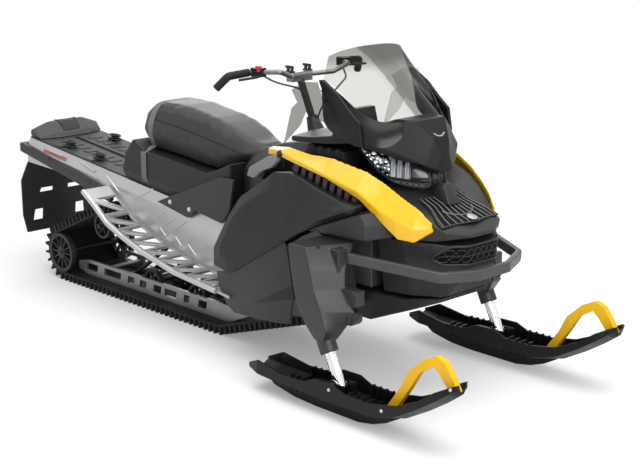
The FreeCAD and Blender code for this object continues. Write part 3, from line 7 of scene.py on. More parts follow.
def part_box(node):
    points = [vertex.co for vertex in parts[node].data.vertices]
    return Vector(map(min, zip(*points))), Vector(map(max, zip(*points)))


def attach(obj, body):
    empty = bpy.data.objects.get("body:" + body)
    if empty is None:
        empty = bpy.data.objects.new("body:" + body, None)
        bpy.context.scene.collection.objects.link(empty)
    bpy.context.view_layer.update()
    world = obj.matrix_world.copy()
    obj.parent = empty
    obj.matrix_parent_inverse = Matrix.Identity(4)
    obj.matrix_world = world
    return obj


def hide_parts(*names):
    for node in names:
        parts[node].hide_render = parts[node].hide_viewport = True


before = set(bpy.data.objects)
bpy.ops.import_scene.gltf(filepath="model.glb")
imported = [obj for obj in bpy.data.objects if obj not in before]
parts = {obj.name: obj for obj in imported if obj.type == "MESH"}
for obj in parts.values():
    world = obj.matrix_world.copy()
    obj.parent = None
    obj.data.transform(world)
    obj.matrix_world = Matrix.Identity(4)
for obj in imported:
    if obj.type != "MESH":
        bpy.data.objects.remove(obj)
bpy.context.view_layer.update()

# Camera: at the photograph's angle, off the right front corner, a little above the windshield.
# All places are in metres, and the ski bolts are the station that the bodywork is measured from.
SKI_BOLTS = 1.0175
VIEW_FROM = Vector((4.8961, -4.3198, 2.1471))
VIEW_TO = Vector((0.4025, 0, 0.5444))
FOCAL_PIXELS = 1455.5
PHOTO_WIDTH = 640
PHOTO_HEIGHT = 465
FILM_WIDTH = 36
TRACE_STEP = 2.5
CLOSEST_SPOTS = 0.002
ABOVE = 1.5
AHEAD = 2.0
ASIDE = 0.6
camera_data = bpy.data.cameras.new("camera")
camera_data.sensor_width = FILM_WIDTH
camera_data.lens = FOCAL_PIXELS * FILM_WIDTH / PHOTO_WIDTH
camera = bpy.data.objects.new("camera", camera_data)
bpy.context.scene.collection.objects.link(camera)
camera.location = VIEW_FROM
camera.rotation_euler = (VIEW_TO - VIEW_FROM).to_track_quat("-Z", "Y").to_euler()
bpy.context.scene.camera = camera
bpy.context.scene.view_settings.view_transform = "Standard"


def put_down():
    """Leaves edit mode with nothing selected."""
    if bpy.context.object and bpy.context.object.mode != "OBJECT":
        bpy.ops.object.mode_set(mode="OBJECT")
    bpy.ops.object.select_all(action="DESELECT")


surfaces = {}


def struck(target, start, direction):
    """Where a straight line from start first meets a CAD node or a shape, and the surface's normal there."""
    shape = parts[target] if isinstance(target, str) else target
    if shape.name not in surfaces:
        surfaces[shape.name] = BVHTree.FromPolygons([vertex.co for vertex in shape.data.vertices],
                                                    [face.vertices for face in shape.data.polygons])
    place, normal = surfaces[shape.name].ray_cast(Vector(start), Vector(direction).normalized())[:2]
    if place is None:
        raise ValueError(f"the line from {start} misses {shape.name}")
    return place, normal


def from_above(target, x, y):
    """The highest spot of a CAD node or a shape at this place."""
    return struck(target, (x, y, ABOVE), (0, 0, -1))[0]


def from_front(target, y, z):
    """The foremost spot of a CAD node or a shape at this place."""
    return struck(target, (AHEAD, y, z), (-1, 0, 0))[0]


def from_side(target, x, side, z):
    """The outermost spot of a CAD node or a shape on one side, and its surface's normal."""
    return struck(target, (x, side * ASIDE, z), (0, -side, 0))


def sight(column, row):
    """The direction in which the camera sees this place of the photograph's frame."""
    return camera.rotation_euler.to_matrix() @ Vector(((column - PHOTO_WIDTH / 2) / FOCAL_PIXELS,
                                                       (PHOTO_HEIGHT / 2 - row) / FOCAL_PIXELS, -1))


def seen(node, column, row):
    """The spot on a CAD node that stands at this place in the photograph's frame."""
    return struck(node, VIEW_FROM, sight(column, row))[0]


def on_plane(column, row, spot, facing):
    """The spot on a plane through spot that stands at this place in the photograph's frame."""
    line = sight(column, row)
    return VIEW_FROM + line * ((spot - VIEW_FROM).dot(facing) / line.dot(facing))


def traced(target, route, step=TRACE_STEP):
    """Spots along a line that is drawn in the photograph's frame, where it crosses a CAD node or a shape."""
    spots = []
    for (column, row), (next_column, next_row) in zip(route, route[1:]):
        stretch = max(1, round(math.hypot(next_column - column, next_row - row) / step))
        for number in range(stretch + 1):
            share = number / stretch
            try:
                spots.append(seen(target, column + (next_column - column) * share, row + (next_row - row) * share))
            except ValueError:
                continue
    return [spot for spot, before in zip(spots, [None] + spots)
            if before is None or (spot - before).length > CLOSEST_SPOTS]


def on_side(place, side):
    """The same place on the machine's right side, -1, or its left side, 1."""
    return Vector((place.x, abs(place.y) * side, place.z))


# Control cables: black jacketed wire from the two control blocks, round the riser and into the boot.
# Each hangs in an easy loop between its two ends and turns with the bar.
# The route's places are shares of the bar's half width, out from the top of the post.
CABLE_RADIUS = 0.004
BAR_HALF = 0.42
POST_BACK = 0.744
POST_HEIGHT = 1.224
POST_TOP = Vector((SKI_BOLTS - POST_BACK, 0, POST_HEIGHT))
CABLE_ROUTE = [(0.06, 0.56, 0.075), (0.14, 0.52, 0.02), (0.27, 0.42, -0.02), (0.32, 0.31, -0.05), (0.31, 0.2, -0.14),
               (0.25, 0.12, -0.26), (0.22, 0.07, -0.36), (0.22, 0.03, -0.47)]
cables = []
for side in (-1, 1):
    line = bpy.data.curves.new("control_cable", "CURVE")
    line.dimensions = "3D"
    line.bevel_depth = CABLE_RADIUS
    line.bevel_resolution = 4
    spline = line.splines.new("NURBS")
    spline.points.add(len(CABLE_ROUTE) - 1)
    for point, (x, y, z) in zip(spline.points, CABLE_ROUTE):
        point.co = (*(POST_TOP + Vector((x, y * side, z)) * BAR_HALF), 1)
    spline.order_u = 3
    spline.use_endpoint_u = True
    spline.resolution_u = 8
    cable = bpy.data.objects.new("cable_right" if side < 0 else "cable_left", line)
    bpy.context.scene.collection.objects.link(cable)
    cables.append(cable)

# Floor and backdrop: a wide matt white sweep that runs into the white of the room.
# The sweep shows as pure white far from the machine and keeps its soft shadow near it.
FLOOR_REACH = 60
FADE_START = 1.9
FADE_END = 3.6
NEAR_GLOW = 0.22


class Pattern:
    """A value that changes over a surface. Sums with it add the Math nodes that work it out."""

    def __init__(self, finish, socket):
        self.finish = finish
        self.socket = socket

    def worked(self, operation, *values):
        return self.finish.node("ShaderNodeMath", {"operation": operation}, dict(enumerate(values)))

    def __add__(self, other):
        return self.worked("ADD", self, other)

    def __sub__(self, other):
        return self.worked("SUBTRACT", self, other)

    def __rsub__(self, other):
        return self.worked("SUBTRACT", other, self)

    def __mul__(self, other):
        return self.worked("MULTIPLY", self, other)

    def most(self, other):
        return self.worked("MAXIMUM", self, other)

    def ramp(self, low, high):
        """Rises smoothly from 0 at low to 1 at high."""
        return self.finish.node("ShaderNodeMapRange", {"interpolation_type": "SMOOTHSTEP"},
                                {"Value": self, "From Min": low, "From Max": high})

    __radd__ = __add__
    __rmul__ = __mul__


class Finish:
    """The finish of a surface: a material, its Principled shader and the nodes that vary it."""

    def __init__(self, name, **plain):
        self.material = bpy.data.materials.new(name)
        self.material.use_nodes = True
        self.tree = self.material.node_tree
        self.shader = self.tree.nodes["Principled BSDF"]
        self.output = self.tree.nodes["Material Output"]
        self.place = self.node("ShaderNodeTexCoord", output="Object")
        self.wear({socket.replace("_", " ").title().replace("Ior", "IOR"): value for socket, value in plain.items()})

    def node(self, kind, settings=None, values=None, output=0):
        """Any shader node: its settings first, then the values or patterns of its sockets."""
        made = self.tree.nodes.new(kind)
        for name, setting in (settings or {}).items():
            setattr(made, name, setting)
        self.fill(made, values or {})
        return Pattern(self, made.outputs[output])

    def fill(self, made, values):
        for socket, value in values.items():
            if isinstance(value, Pattern):
                self.tree.links.new(value.socket, made.inputs[socket])
            elif isinstance(value, tuple) and made.inputs[socket].type == "RGBA":
                made.inputs[socket].default_value = (*value, 1)
            else:
                made.inputs[socket].default_value = value

    def wear(self, values):
        """Sets sockets of the Principled shader."""
        self.fill(self.shader, values)

    def along(self, axis):
        """The place along one axis of the machine, in metres."""
        return self.node("ShaderNodeSeparateXYZ", {}, {0: self.place}, axis)

    def noise(self, scale, detail=3.0, stretch=(1, 1, 1)):
        """Cloudy variation, with this many patches a metre."""
        spot = self.node("ShaderNodeVectorMath", {"operation": "MULTIPLY"}, {0: self.place, 1: stretch})
        return self.node("ShaderNodeTexNoise", {}, {"Vector": spot, "Scale": scale, "Detail": detail})

    def cells(self, scale):
        """Small rounded cells, with this many a metre."""
        return self.node("ShaderNodeTexVoronoi", {}, {"Vector": self.place, "Scale": scale})

    def mix(self, factor, first, second):
        return self.node("ShaderNodeMix", {"data_type": "RGBA"}, {0: factor, 6: first, 7: second}, 2)

    def edges(self, radius):
        """The surface's normal with its edges rounded to this radius, and how far it turns from the flat one."""
        soft = self.node("ShaderNodeBevel", {"samples": 6}, {"Radius": radius})
        true = self.node("ShaderNodeNewGeometry", output="Normal")
        same = self.node("ShaderNodeVectorMath", {"operation": "DOT_PRODUCT"}, {0: soft, 1: true}, "Value")
        return soft, (1 - same).ramp(0.003, 0.09)

    def relief(self, height, depth, normal=None):
        """Raises the surface by height, where 1 stands depth metres high."""
        values = {"Height": height, "Distance": depth, "Strength": 1.0}
        if normal:
            values["Normal"] = normal
        self.wear({"Normal": self.node("ShaderNodeBump", {}, values)})

    def cover(self, *names):
        """Gives this finish to CAD nodes."""
        for name in names:
            parts[name].data.materials.clear()
            parts[name].data.materials.append(self.material)


put_down()
bpy.ops.mesh.primitive_circle_add(vertices=64, radius=FLOOR_REACH, fill_type="NGON")
floor = bpy.context.object
floor.name = "floor"
sweep = Finish("white_sweep", roughness=0.9)
sweep.wear({"Base Color": (0.9, 0.9, 0.9), "Specular IOR Level": 0.0})
distance = sweep.node("ShaderNodeVectorMath", {"operation": "LENGTH"}, {0: sweep.place}, "Value")
away = distance.ramp(FADE_START, FADE_END)
path = sweep.tree.nodes.new("ShaderNodeLightPath")
shown = Pattern(sweep, path.outputs["Is Camera Ray"])
for ray in ("Is Glossy Ray", "Is Transmission Ray"):
    shown = shown.most(Pattern(sweep, path.outputs[ray]))
white = sweep.node("ShaderNodeEmission", {}, {"Color": (1.0, 1.0, 1.0), "Strength": 1.0})
matt = Pattern(sweep, sweep.shader.outputs[0])
blended = sweep.node("ShaderNodeMixShader", {}, {0: shown * away.most(NEAR_GLOW), 1: matt, 2: white})
sweep.tree.links.new(blended.socket, sweep.output.inputs["Surface"])
floor.data.materials.append(sweep.material)

# Light: a white room, a wide soft panel overhead and a weaker one on each side.
# The room shows white to the eye, in gloss and through the screens, and lights at a lower level.
ROOM_LEVEL = 0.5
PANELS = [("overhead", (0.6, -0.3, 4.2), (0, 0, 0), 5.0, 200),
          ("right_front", (4.9, -2.2, 2.6), (0.4, 0, 0.5), 3.0, 150),
          ("left_rear", (-3.5, 3.2, 2.6), (0, 0, 0.5), 3.0, 70)]
room = bpy.data.worlds.new("room")
room.use_nodes = True
bpy.context.scene.world = room
room_path = room.node_tree.nodes.new("ShaderNodeLightPath")
background = room.node_tree.nodes["Background"]
background.inputs["Color"].default_value = (1, 1, 1, 1)
level = None
for ray in ("Is Camera Ray", "Is Glossy Ray", "Is Transmission Ray"):
    if level is None:
        level = room_path.outputs[ray]
    else:
        either = room.node_tree.nodes.new("ShaderNodeMath")
        either.operation = "MAXIMUM"
        room.node_tree.links.new(level, either.inputs[0])
        room.node_tree.links.new(room_path.outputs[ray], either.inputs[1])
        level = either.outputs[0]
strength = room.node_tree.nodes.new("ShaderNodeMapRange")
strength.inputs["To Min"].default_value = ROOM_LEVEL
strength.inputs["To Max"].default_value = 1.0
room.node_tree.links.new(level, strength.inputs["Value"])
room.node_tree.links.new(strength.outputs["Result"], background.inputs["Strength"])
for name, place, aim, size, power in PANELS:
    lamp_data = bpy.data.lights.new(name, "AREA")
    lamp_data.shape = "SQUARE"
    lamp_data.size = size
    lamp_data.energy = power
    lamp = bpy.data.objects.new(name, lamp_data)
    bpy.context.scene.collection.objects.link(lamp)
    lamp.location = place
    lamp.rotation_euler = (Vector(aim) - Vector(place)).to_track_quat("-Z", "Y").to_euler()

# Cable jackets: smooth black vinyl with a slight unevenness.
# Both cables ride with the bar.
jacket = Finish("cable_jacket", roughness=0.42)
jacket.wear({"Base Color": jacket.mix(jacket.noise(180), (0.011, 0.011, 0.012), (0.022, 0.022, 0.023))})
jacket.relief(jacket.noise(600), 0.0002)
for cable in cables:
    cable.data.materials.append(jacket.material)
    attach(cable, "steering")
    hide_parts("control_cables")

# Tunnel: bare rolled aluminium sheet, folded over the track and stamped with swage lines.
# It keeps its rolling grain along the machine and a few hand marks.
WELD = 0.0002
SWAGE_RADIUS = 0.0055
PRESS_RADIUS = 0.0077
SWAGE_LINES = [[(106.5, 175.5), (118.5, 191.5), (134, 199.5), (153, 189)], [(153.2, 218), (165.9, 211)],
               [(163.1, 225), (177.1, 216.6)], [(172.9, 230.6), (186.9, 220.8)], [(160.3, 227.8), (165.9, 236.2)],
               [(175.7, 236.9), (181.3, 246)], [(188.3, 244.6), (196, 255.9)]]
PRESSED_BARS = [((-1.3835, 0.683), (-1.2865, 0.673)), ((-1.1185, 0.664), (-0.9995, 0.635))]


def bead(points, radius, closed=False):
    """A round bead laid along points."""
    put_down()
    line = bpy.data.curves.new("bead", "CURVE")
    line.dimensions = "3D"
    line.bevel_depth = radius
    line.bevel_resolution = 2
    line.use_fill_caps = True
    spline = line.splines.new("POLY")
    spline.points.add(len(points) - 1)
    for point, place in zip(spline.points, points):
        point.co = (*place, 1)
    spline.use_cyclic_u = closed
    shape = bpy.data.objects.new("bead", line)
    bpy.context.scene.collection.objects.link(shape)
    bpy.context.view_layer.objects.active = shape
    shape.select_set(True)
    bpy.ops.object.convert(target="MESH")
    return bpy.context.object


def finished(name, shapes, finish, body="chassis", smooth=40):
    """Joins shapes into one piece with its finish, which rides on a body."""
    put_down()
    for shape in shapes:
        shape.select_set(True)
    bpy.context.view_layer.objects.active = shapes[0]
    if len(shapes) > 1:
        bpy.ops.object.join()
    piece = bpy.context.object
    piece.name = name
    piece.data.materials.clear()
    piece.data.materials.append(finish.material)
    bpy.ops.object.shade_smooth_by_angle(angle=math.radians(smooth))
    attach(piece, body)
    return piece


def face_outward():
    """Turns every face of the shape in hand outward."""
    bpy.ops.object.mode_set(mode="EDIT")
    bpy.ops.mesh.select_all(action="SELECT")
    bpy.ops.mesh.normals_make_consistent(inside=False)
    bpy.ops.object.mode_set(mode="OBJECT")


def applied(shape, **steps):
    """Gives a shape modifiers, each with its settings, and applies them in this order."""
    for kind, settings in steps.items():
        modifier = shape.modifiers.new(kind, kind)
        for name, value in settings.items():
            setattr(modifier, name, value)
        bpy.ops.object.modifier_apply(modifier=kind)


def mirrored(shape):
    """A copy of a shape on the machine's other side."""
    put_down()
    twin = bpy.data.objects.new(shape.name, shape.data.copy())
    bpy.context.scene.collection.objects.link(twin)
    bpy.context.view_layer.objects.active = twin
    twin.select_set(True)
    twin.scale = (1, -1, 1)
    bpy.ops.object.transform_apply()
    face_outward()
    return twin


def both_sides(shapes):
    """Shapes and their copies on the machine's other side."""
    return shapes + [mirrored(shape) for shape in shapes]


def block(low, high, edge):
    """A block between two corners, with its edges rounded."""
    put_down()
    low, high = Vector(low), Vector(high)
    bpy.ops.mesh.primitive_cube_add(size=1, location=(low + high) / 2, scale=high - low)
    return rounded(edge)


def rounded(edge):
    """Applies the place and size of the shape in hand and rounds its edges."""
    bpy.ops.object.transform_apply()
    applied(bpy.context.object, BEVEL={"width": edge, "segments": 2, "limit_method": "ANGLE"})
    return bpy.context.object


def peg(start, end, radius, edge, sides=24):
    """A turned peg between two points."""
    put_down()
    start, end = Vector(start), Vector(end)
    bpy.ops.mesh.primitive_cone_add(vertices=sides, radius1=radius, radius2=radius, depth=(end - start).length,
                                    location=(start + end) / 2,
                                    rotation=(end - start).to_track_quat("Z", "Y").to_euler())
    return rounded(edge)


sheet_metal = Finish("rolled_aluminium", metallic=0.85)
rolling = sheet_metal.noise(260, 4, (0.04, 1, 1))
smudge = sheet_metal.noise(7, 5)
soft_edge, bright_edge = sheet_metal.edges(0.0025)
sheet_metal.wear({
    "Base Color": sheet_metal.mix(bright_edge * 0.5 + smudge * 0.3, (0.42, 0.425, 0.435), (0.7, 0.705, 0.715)),
    "Roughness": 0.22 + smudge * 0.12 + rolling * 0.1,
})
sheet_metal.relief(rolling, 0.0002, soft_edge)
sheet_metal.cover("tunnel", "board_rail_right", "board_rail_left")
swages = []
for pixels in SWAGE_LINES:
    swages += both_sides([bead(traced("tunnel", pixels), SWAGE_RADIUS)])
for low, high in PRESSED_BARS:
    for side in (-1, 1):
        swages.append(bead([from_side("tunnel", x, side, z)[0] for x, z in (low, high)], PRESS_RADIUS))
finished("tunnel_swages", swages, sheet_metal)


def moulded(name, dark, pale, roughness, grain, depth, edge=0.002, shine=0.5, **plain):
    """A moulded or painted surface: fine grain, faint patches, and paler edges."""
    finish = Finish(name, specular_ior_level=shine, **plain)
    patches = finish.noise(9, 4)
    soft, pale_edges = finish.edges(edge)
    finish.wear({
        "Base Color": finish.mix(patches * 0.5 + pale_edges * 0.5, dark, pale),
        "Roughness": roughness + patches * 0.08 - pale_edges * 0.06,
    })
    finish.relief(finish.noise(grain, 2), depth, soft)
    return finish


def skinned(node, name, grain, rounds):
    """A finely meshed and smoothed copy of a CAD node's solid."""
    put_down()
    skin = bpy.data.objects.new(name, parts[node].data.copy())
    bpy.context.scene.collection.objects.link(skin)
    bpy.context.view_layer.objects.active = skin
    skin.select_set(True)
    bpy.ops.object.mode_set(mode="EDIT")
    bpy.ops.mesh.select_all(action="SELECT")
    bpy.ops.mesh.remove_doubles(threshold=WELD)
    bpy.ops.object.mode_set(mode="OBJECT")
    applied(skin, REMESH={"mode": "VOXEL", "voxel_size": grain}, SMOOTH={"factor": 0.5, "iterations": rounds})
    return skin


def stands_for(node, skin, finish):
    """Shows a skin in place of its CAD node, with its finish."""
    skin.data.materials.clear()
    skin.data.materials.append(finish.material)
    bpy.ops.object.shade_smooth()
    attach(skin, "chassis")
    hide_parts(node)
    return skin


def faired(node, grain, rounds, finish, keep=0.45):
    """A skin over a CAD node, whose corners are rounded as a mould rounds them."""
    skin = skinned(node, node + "_skin", grain, rounds)
    applied(skin, DECIMATE={"ratio": keep})
    return stands_for(node, skin, finish)


# Fasteners: button head bolts with a hex socket on a thin washer, zinc plated or blackened.
# One is turned and copied wherever the photograph shows a bolt.
WASHER_RADIUS = 0.0105
WASHER_TOP = 0.0012
WASHER_SUNK = 0.002
HEAD_RADIUS = 0.0075
HEAD_TOP = 0.0062
SOCKET_RADIUS = 0.0036
zinc = moulded("zinc", (0.5, 0.5, 0.5), (0.72, 0.72, 0.71), 0.28, 400, 0.0001, 0.0008, metallic=0.9)
black_zinc = moulded("black_zinc", (0.02, 0.02, 0.02), (0.06, 0.06, 0.06), 0.4, 400, 0.0001, 0.0008, metallic=0.5,
                     shine=0.3)
washer = peg((0, 0, -WASHER_SUNK), (0, 0, WASHER_TOP), WASHER_RADIUS, 0.0005, 20)
head = peg((0, 0, 0.001), (0, 0, HEAD_TOP), HEAD_RADIUS, 0.0018, 20)
socket = peg((0, 0, 0.0055), (0, 0, HEAD_TOP + 0.0002), SOCKET_RADIUS, 0.0002, 6)
put_down()
for shape in (washer, head, socket):
    shape.select_set(True)
bpy.context.view_layer.objects.active = washer
bpy.ops.object.join()
bolt = washer.data.copy()
bpy.ops.object.delete()


def bolted(name, spots, finish, size, body="chassis"):
    """Bolts with their heads out at spots, each a place and the direction that it faces."""
    copies = []
    for place, facing in spots:
        copy = bpy.data.objects.new("bolt", bolt.copy())
        copy.data.transform(Matrix.Translation(place) @ Vector(facing).to_track_quat("Z", "Y").to_matrix().to_4x4()
                            @ Matrix.Scale(size, 4))
        bpy.context.scene.collection.objects.link(copy)
        copies.append(copy)
    return finished(name, copies, finish, body)


# Rear bumper and snow flap: bent black tube round the tunnel's end, and a hanging moulded flap.
# Two bolts hold the tube on each side, the flap is creased where it folds, and its lettering is left off.
bar_steel = moulded("black_steel", (0.009, 0.009, 0.0095), (0.03, 0.03, 0.032), 0.34, 500, 0.0003, 0.003, shine=0.35)
faired("rear_bumper", 0.0035, 6, bar_steel)
bar_steel.cover("suspension_arms", "hitch")
black_plastic = moulded("black_plastic", (0.0075, 0.0075, 0.008), (0.017, 0.017, 0.018), 0.4, 900, 0.0003, shine=0.3)
flap_plastic = moulded("flap_plastic", (0.012, 0.012, 0.0125), (0.025, 0.025, 0.026), 0.45, 500, 0.0004, shine=0.3)
flap_plastic.cover("snow_flap")
FLAP_CREASES = (0.362, 0.372)
FLAP_HALF = 0.225
CREASE_RADIUS = 0.002
flap_beads = []
for height in FLAP_CREASES:
    spots = [struck("snow_flap", (-AHEAD, y, height), (1, 0, 0))[0] for y in (-FLAP_HALF, 0, FLAP_HALF)]
    flap_beads.append(bead(spots, CREASE_RADIUS))
finished("flap_crease", flap_beads, flap_plastic)
red_lens = moulded("red_lens", (0.3, 0.004, 0.008), (0.45, 0.01, 0.014), 0.15, 200, 0.00005, 0.001, coat_weight=1.0)
red_lens.cover("rear_lights")
BUMPER_BOLTS = ((-1.35, 0.655), (-1.0, 0.585))
bumper_spots = [from_side("rear_bumper", x, side, z) for side in (-1, 1) for x, z in BUMPER_BOLTS]
bolted("bumper_bolts", bumper_spots, black_zinc, 0.9)

# Deck mat: ribbed rubber laid on the tunnel, with a groove down its middle and hooked grooves each side, drawn as dark
# beads whose darkness is painted shade.
# Four anchors with oval loops stand on it for cargo.
RIB_START = -1.385
RIB_PITCH = 0.066
RIB_NUMBER = 9
RIB_HOOK = 0.034
RIB_LEAN = 0.004
RIB_RADIUS = 0.0028
RIB_ENDS = ((-0.118, -0.05), (0.05, 0.118))
GROOVE_STATIONS = (-1.455, -1.2, -0.98, -0.785)
GROOVE_SIDES = (-0.006, 0.006)
GROOVE_RADIUS = 0.004
ANCHOR_STATIONS = (-1.3, -1.045)
ANCHOR_ASIDE = 0.14
LOOP_LENGTH = 0.05
LOOP_WIDTH = 0.019
LOOP_LEVELS = ((0.01, 1.0), (0.03, 0.8))
LOOP_RADIUS = 0.005
LOOP_CORNERS = 16
mat_rubber = moulded("mat_rubber", (0.03, 0.03, 0.031), (0.055, 0.055, 0.057), 0.6, 500, 0.0005, 0.002, shine=0.3)
mat_rubber.cover("deck_mat")
# Dark beads laid on the mat stand for its grooves: their darkness is painted shade in the grooves.
groove_painted_shade = moulded("mat_groove", (0.006, 0.006, 0.006), (0.012, 0.012, 0.012), 0.7, 500, 0.0003, shine=0.2)
grooves = []
for number in range(RIB_NUMBER):
    x = RIB_START + RIB_PITCH * number
    for outer, inner in RIB_ENDS:
        route = [from_above("deck_mat", *spot) for spot in ((x - RIB_HOOK, outer), (x, outer), (x + RIB_LEAN, inner))]
        grooves.append(bead(route, RIB_RADIUS))
for y in GROOVE_SIDES:
    grooves.append(bead([from_above("deck_mat", x, y) for x in GROOVE_STATIONS], GROOVE_RADIUS))
finished("mat_grooves", grooves, groove_painted_shade)
black_plastic.cover("cargo_anchors")
loops = []
for x in ANCHOR_STATIONS:
    for side in (-1, 1):
        foot = from_above("deck_mat", x, side * ANCHOR_ASIDE)
        loops.append(block(foot + Vector((-0.009, -0.018, 0)), foot + Vector((0.009, 0.018, 0.03)), 0.004))
        for height, reach in LOOP_LEVELS:
            ring = []
            for corner in range(LOOP_CORNERS):
                angle = math.tau * corner / LOOP_CORNERS
                ring.append(foot + Vector((math.cos(angle) * LOOP_LENGTH * reach,
                                           math.sin(angle) * LOOP_WIDTH * reach, height)))
            loops.append(bead(ring, LOOP_RADIUS, True))
finished("anchor_loops", loops, black_plastic)

# Storage bag: stiff woven cloth over a foam lining, lying at the deck's rear end.
# A darker flap with bound edges folds over its middle, and its badge is left off.
BAG_FLAP_HALF = 0.06
FLAP_REAR = 0.022
FLAP_FRONT = 0.03
FLAP_NARROW = 0.8
FLAP_RISE = 0.004
FLAP_WALL = 0.003
BINDING_RADIUS = 0.0022
PRESSURE = 4
CLOTH_FRAMES = 20


def stuffed(node, name, grain, swell, cap, finish):
    """A padded piece blown up from a CAD solid: it starts slack and its skin swells by a limited way."""
    pad = skinned(node, name, grain, 6)
    applied(pad, DISPLACE={"strength": -swell, "mid_level": 0})
    floor_level = min(vertex.co.z for vertex in pad.data.vertices)
    rest = [vertex.co.copy() for vertex in pad.data.vertices]
    cloth = pad.modifiers.new("cloth", "CLOTH")
    cloth.settings.use_pressure = True
    cloth.settings.uniform_pressure_force = PRESSURE
    cloth.settings.effector_weights.gravity = 0
    for number in range(1, CLOTH_FRAMES + 1):
        bpy.context.scene.frame_set(number)
    bpy.ops.object.modifier_apply(modifier="cloth")
    for vertex, start in zip(pad.data.vertices, rest):
        move = vertex.co - start
        if move.length > cap:
            vertex.co = start + move * (cap / move.length)
        vertex.co.z = max(vertex.co.z, floor_level)
    bpy.context.scene.frame_set(1)
    applied(pad, SMOOTH={"factor": 0.5, "iterations": 9}, SUBSURF={"levels": 1, "render_levels": 1})
    stands_for(node, pad, finish)
    return pad


def outline(places):
    """One face with this outline."""
    put_down()
    bpy.ops.mesh.primitive_circle_add(vertices=len(places), radius=0.1, fill_type="NGON")
    face = bpy.context.object
    for vertex, place in zip(face.data.vertices, places):
        vertex.co = place
    return face


def patch(target, places, rise, wall):
    """A thin panel with this outline, fitted to a surface and standing proud of it."""
    panel = outline(places)
    bpy.ops.object.mode_set(mode="EDIT")
    bpy.ops.mesh.select_all(action="SELECT")
    bpy.ops.mesh.quads_convert_to_tris()
    bpy.ops.mesh.subdivide(number_cuts=5)
    bpy.ops.object.mode_set(mode="OBJECT")
    applied(panel, SHRINKWRAP={"target": target, "wrap_method": "NEAREST_SURFACEPOINT",
                               "wrap_mode": "ABOVE_SURFACE", "offset": rise},
            SOLIDIFY={"thickness": wall, "offset": -1})
    face_outward()
    return panel


def woven(name, dark, pale, threads, depth):
    """Plain weave: threads over and under, with this many a metre, and a faint fade."""
    finish = Finish(name, specular_ior_level=0.25)
    across = finish.node("ShaderNodeTexWave", {"bands_direction": "Y"}, {"Vector": finish.place, "Scale": threads})
    down = finish.node("ShaderNodeTexWave", {"bands_direction": "X"}, {"Vector": finish.place, "Scale": threads})
    weave = across * down
    fade = finish.noise(8, 4)
    finish.wear({"Base Color": finish.mix(fade * 0.6 + weave * 0.4, dark, pale), "Roughness": 0.75})
    finish.relief(weave, depth)
    return finish


bag_cloth = woven("bag_fabric", (0.06, 0.06, 0.062), (0.1, 0.1, 0.103), 60, 0.0004)
flap_cloth = woven("bag_flap_cloth", (0.03, 0.03, 0.031), (0.05, 0.05, 0.052), 60, 0.0004)
bag = stuffed("storage_bag", "bag", grain=0.005, swell=0.004, cap=0.007, finish=bag_cloth)
bag_low, bag_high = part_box("storage_bag")
flap_outline = [from_above(bag, x, y * BAG_FLAP_HALF) for x, y in (
    (bag_low.x + FLAP_REAR, -1), (bag_high.x - FLAP_FRONT, -FLAP_NARROW),
    (bag_high.x - FLAP_FRONT, FLAP_NARROW), (bag_low.x + FLAP_REAR, 1))]
flap = patch(bag, flap_outline, FLAP_RISE, FLAP_WALL)
finished("bag_flap", [flap], flap_cloth)
hem_finish = moulded("bag_binding", (0.008, 0.008, 0.008), (0.018, 0.018, 0.018), 0.6, 700, 0.0003, shine=0.25)
binding = []
for rear, front in ((0, 1), (3, 2)):
    spots = [flap_outline[rear].lerp(flap_outline[front], share) for share in (0, 0.25, 0.5, 0.75, 1)]
    binding.append(bead([from_above(bag, spot.x, spot.y) + Vector((0, 0, FLAP_RISE)) for spot in spots],
                        BINDING_RADIUS))
finished("bag_binding", binding, hem_finish)

# Seat: a black moulded base, a crowned foam cushion under smooth vinyl, and a grab strap over it.
# The cover's side panel is sewn to its top along a crease that runs forward from the strap.
faired("seat_base", 0.005, 5, black_plastic)
vinyl = Finish("seat_vinyl", specular_ior_level=0.35)
leather_cells = vinyl.cells(420)
vinyl_patches = vinyl.noise(5, 4)
vinyl.wear({"Base Color": vinyl.mix(vinyl_patches, (0.014, 0.0135, 0.013), (0.03, 0.029, 0.028)),
            "Roughness": 0.4 + vinyl_patches * 0.12})
vinyl.relief(leather_cells, 0.0002)
cushion = stuffed("seat_cushion", "cushion", grain=0.0075, swell=0.004, cap=0.007, finish=vinyl)
thread = moulded("seat_thread", (0.006, 0.006, 0.006), (0.012, 0.012, 0.012), 0.6, 700, 0.0002, shine=0.2)
SEAM_RADIUS = 0.0022
SEAM_ROUTE = [(154.3, 119), (178, 127), (203, 137), (226, 147), (246, 155.5)]
SEAM_FALL = [(246, 155.5), (236, 163), (223, 170)]
SEAM_FOOT = [(150, 158), (175, 169), (200, 176)]
seams = []
for route in (SEAM_ROUTE, SEAM_FALL, SEAM_FOOT):
    spots = traced(cushion, route)
    if len(spots) > 1:
        seams += both_sides([bead(spots, SEAM_RADIUS)])
finished("seat_seams", seams, thread)


def ribbon(places, across, wall):
    """A flat band along places, as wide as the vector across."""
    put_down()
    bpy.ops.mesh.primitive_grid_add(x_subdivisions=len(places) - 1, y_subdivisions=1, size=0.1)
    band = bpy.context.object
    rows = sorted({round(vertex.co.y, 4) for vertex in band.data.vertices})
    columns = sorted({round(vertex.co.x, 4) for vertex in band.data.vertices})
    for vertex in band.data.vertices:
        column = min(range(len(columns)), key=lambda number: abs(columns[number] - vertex.co.x))
        shift = -0.5 if abs(vertex.co.y - rows[0]) < abs(vertex.co.y - rows[-1]) else 0.5
        vertex.co = Vector(places[column]) + Vector(across) * shift
    applied(band, SOLIDIFY={"thickness": wall, "offset": 0})
    face_outward()
    return band


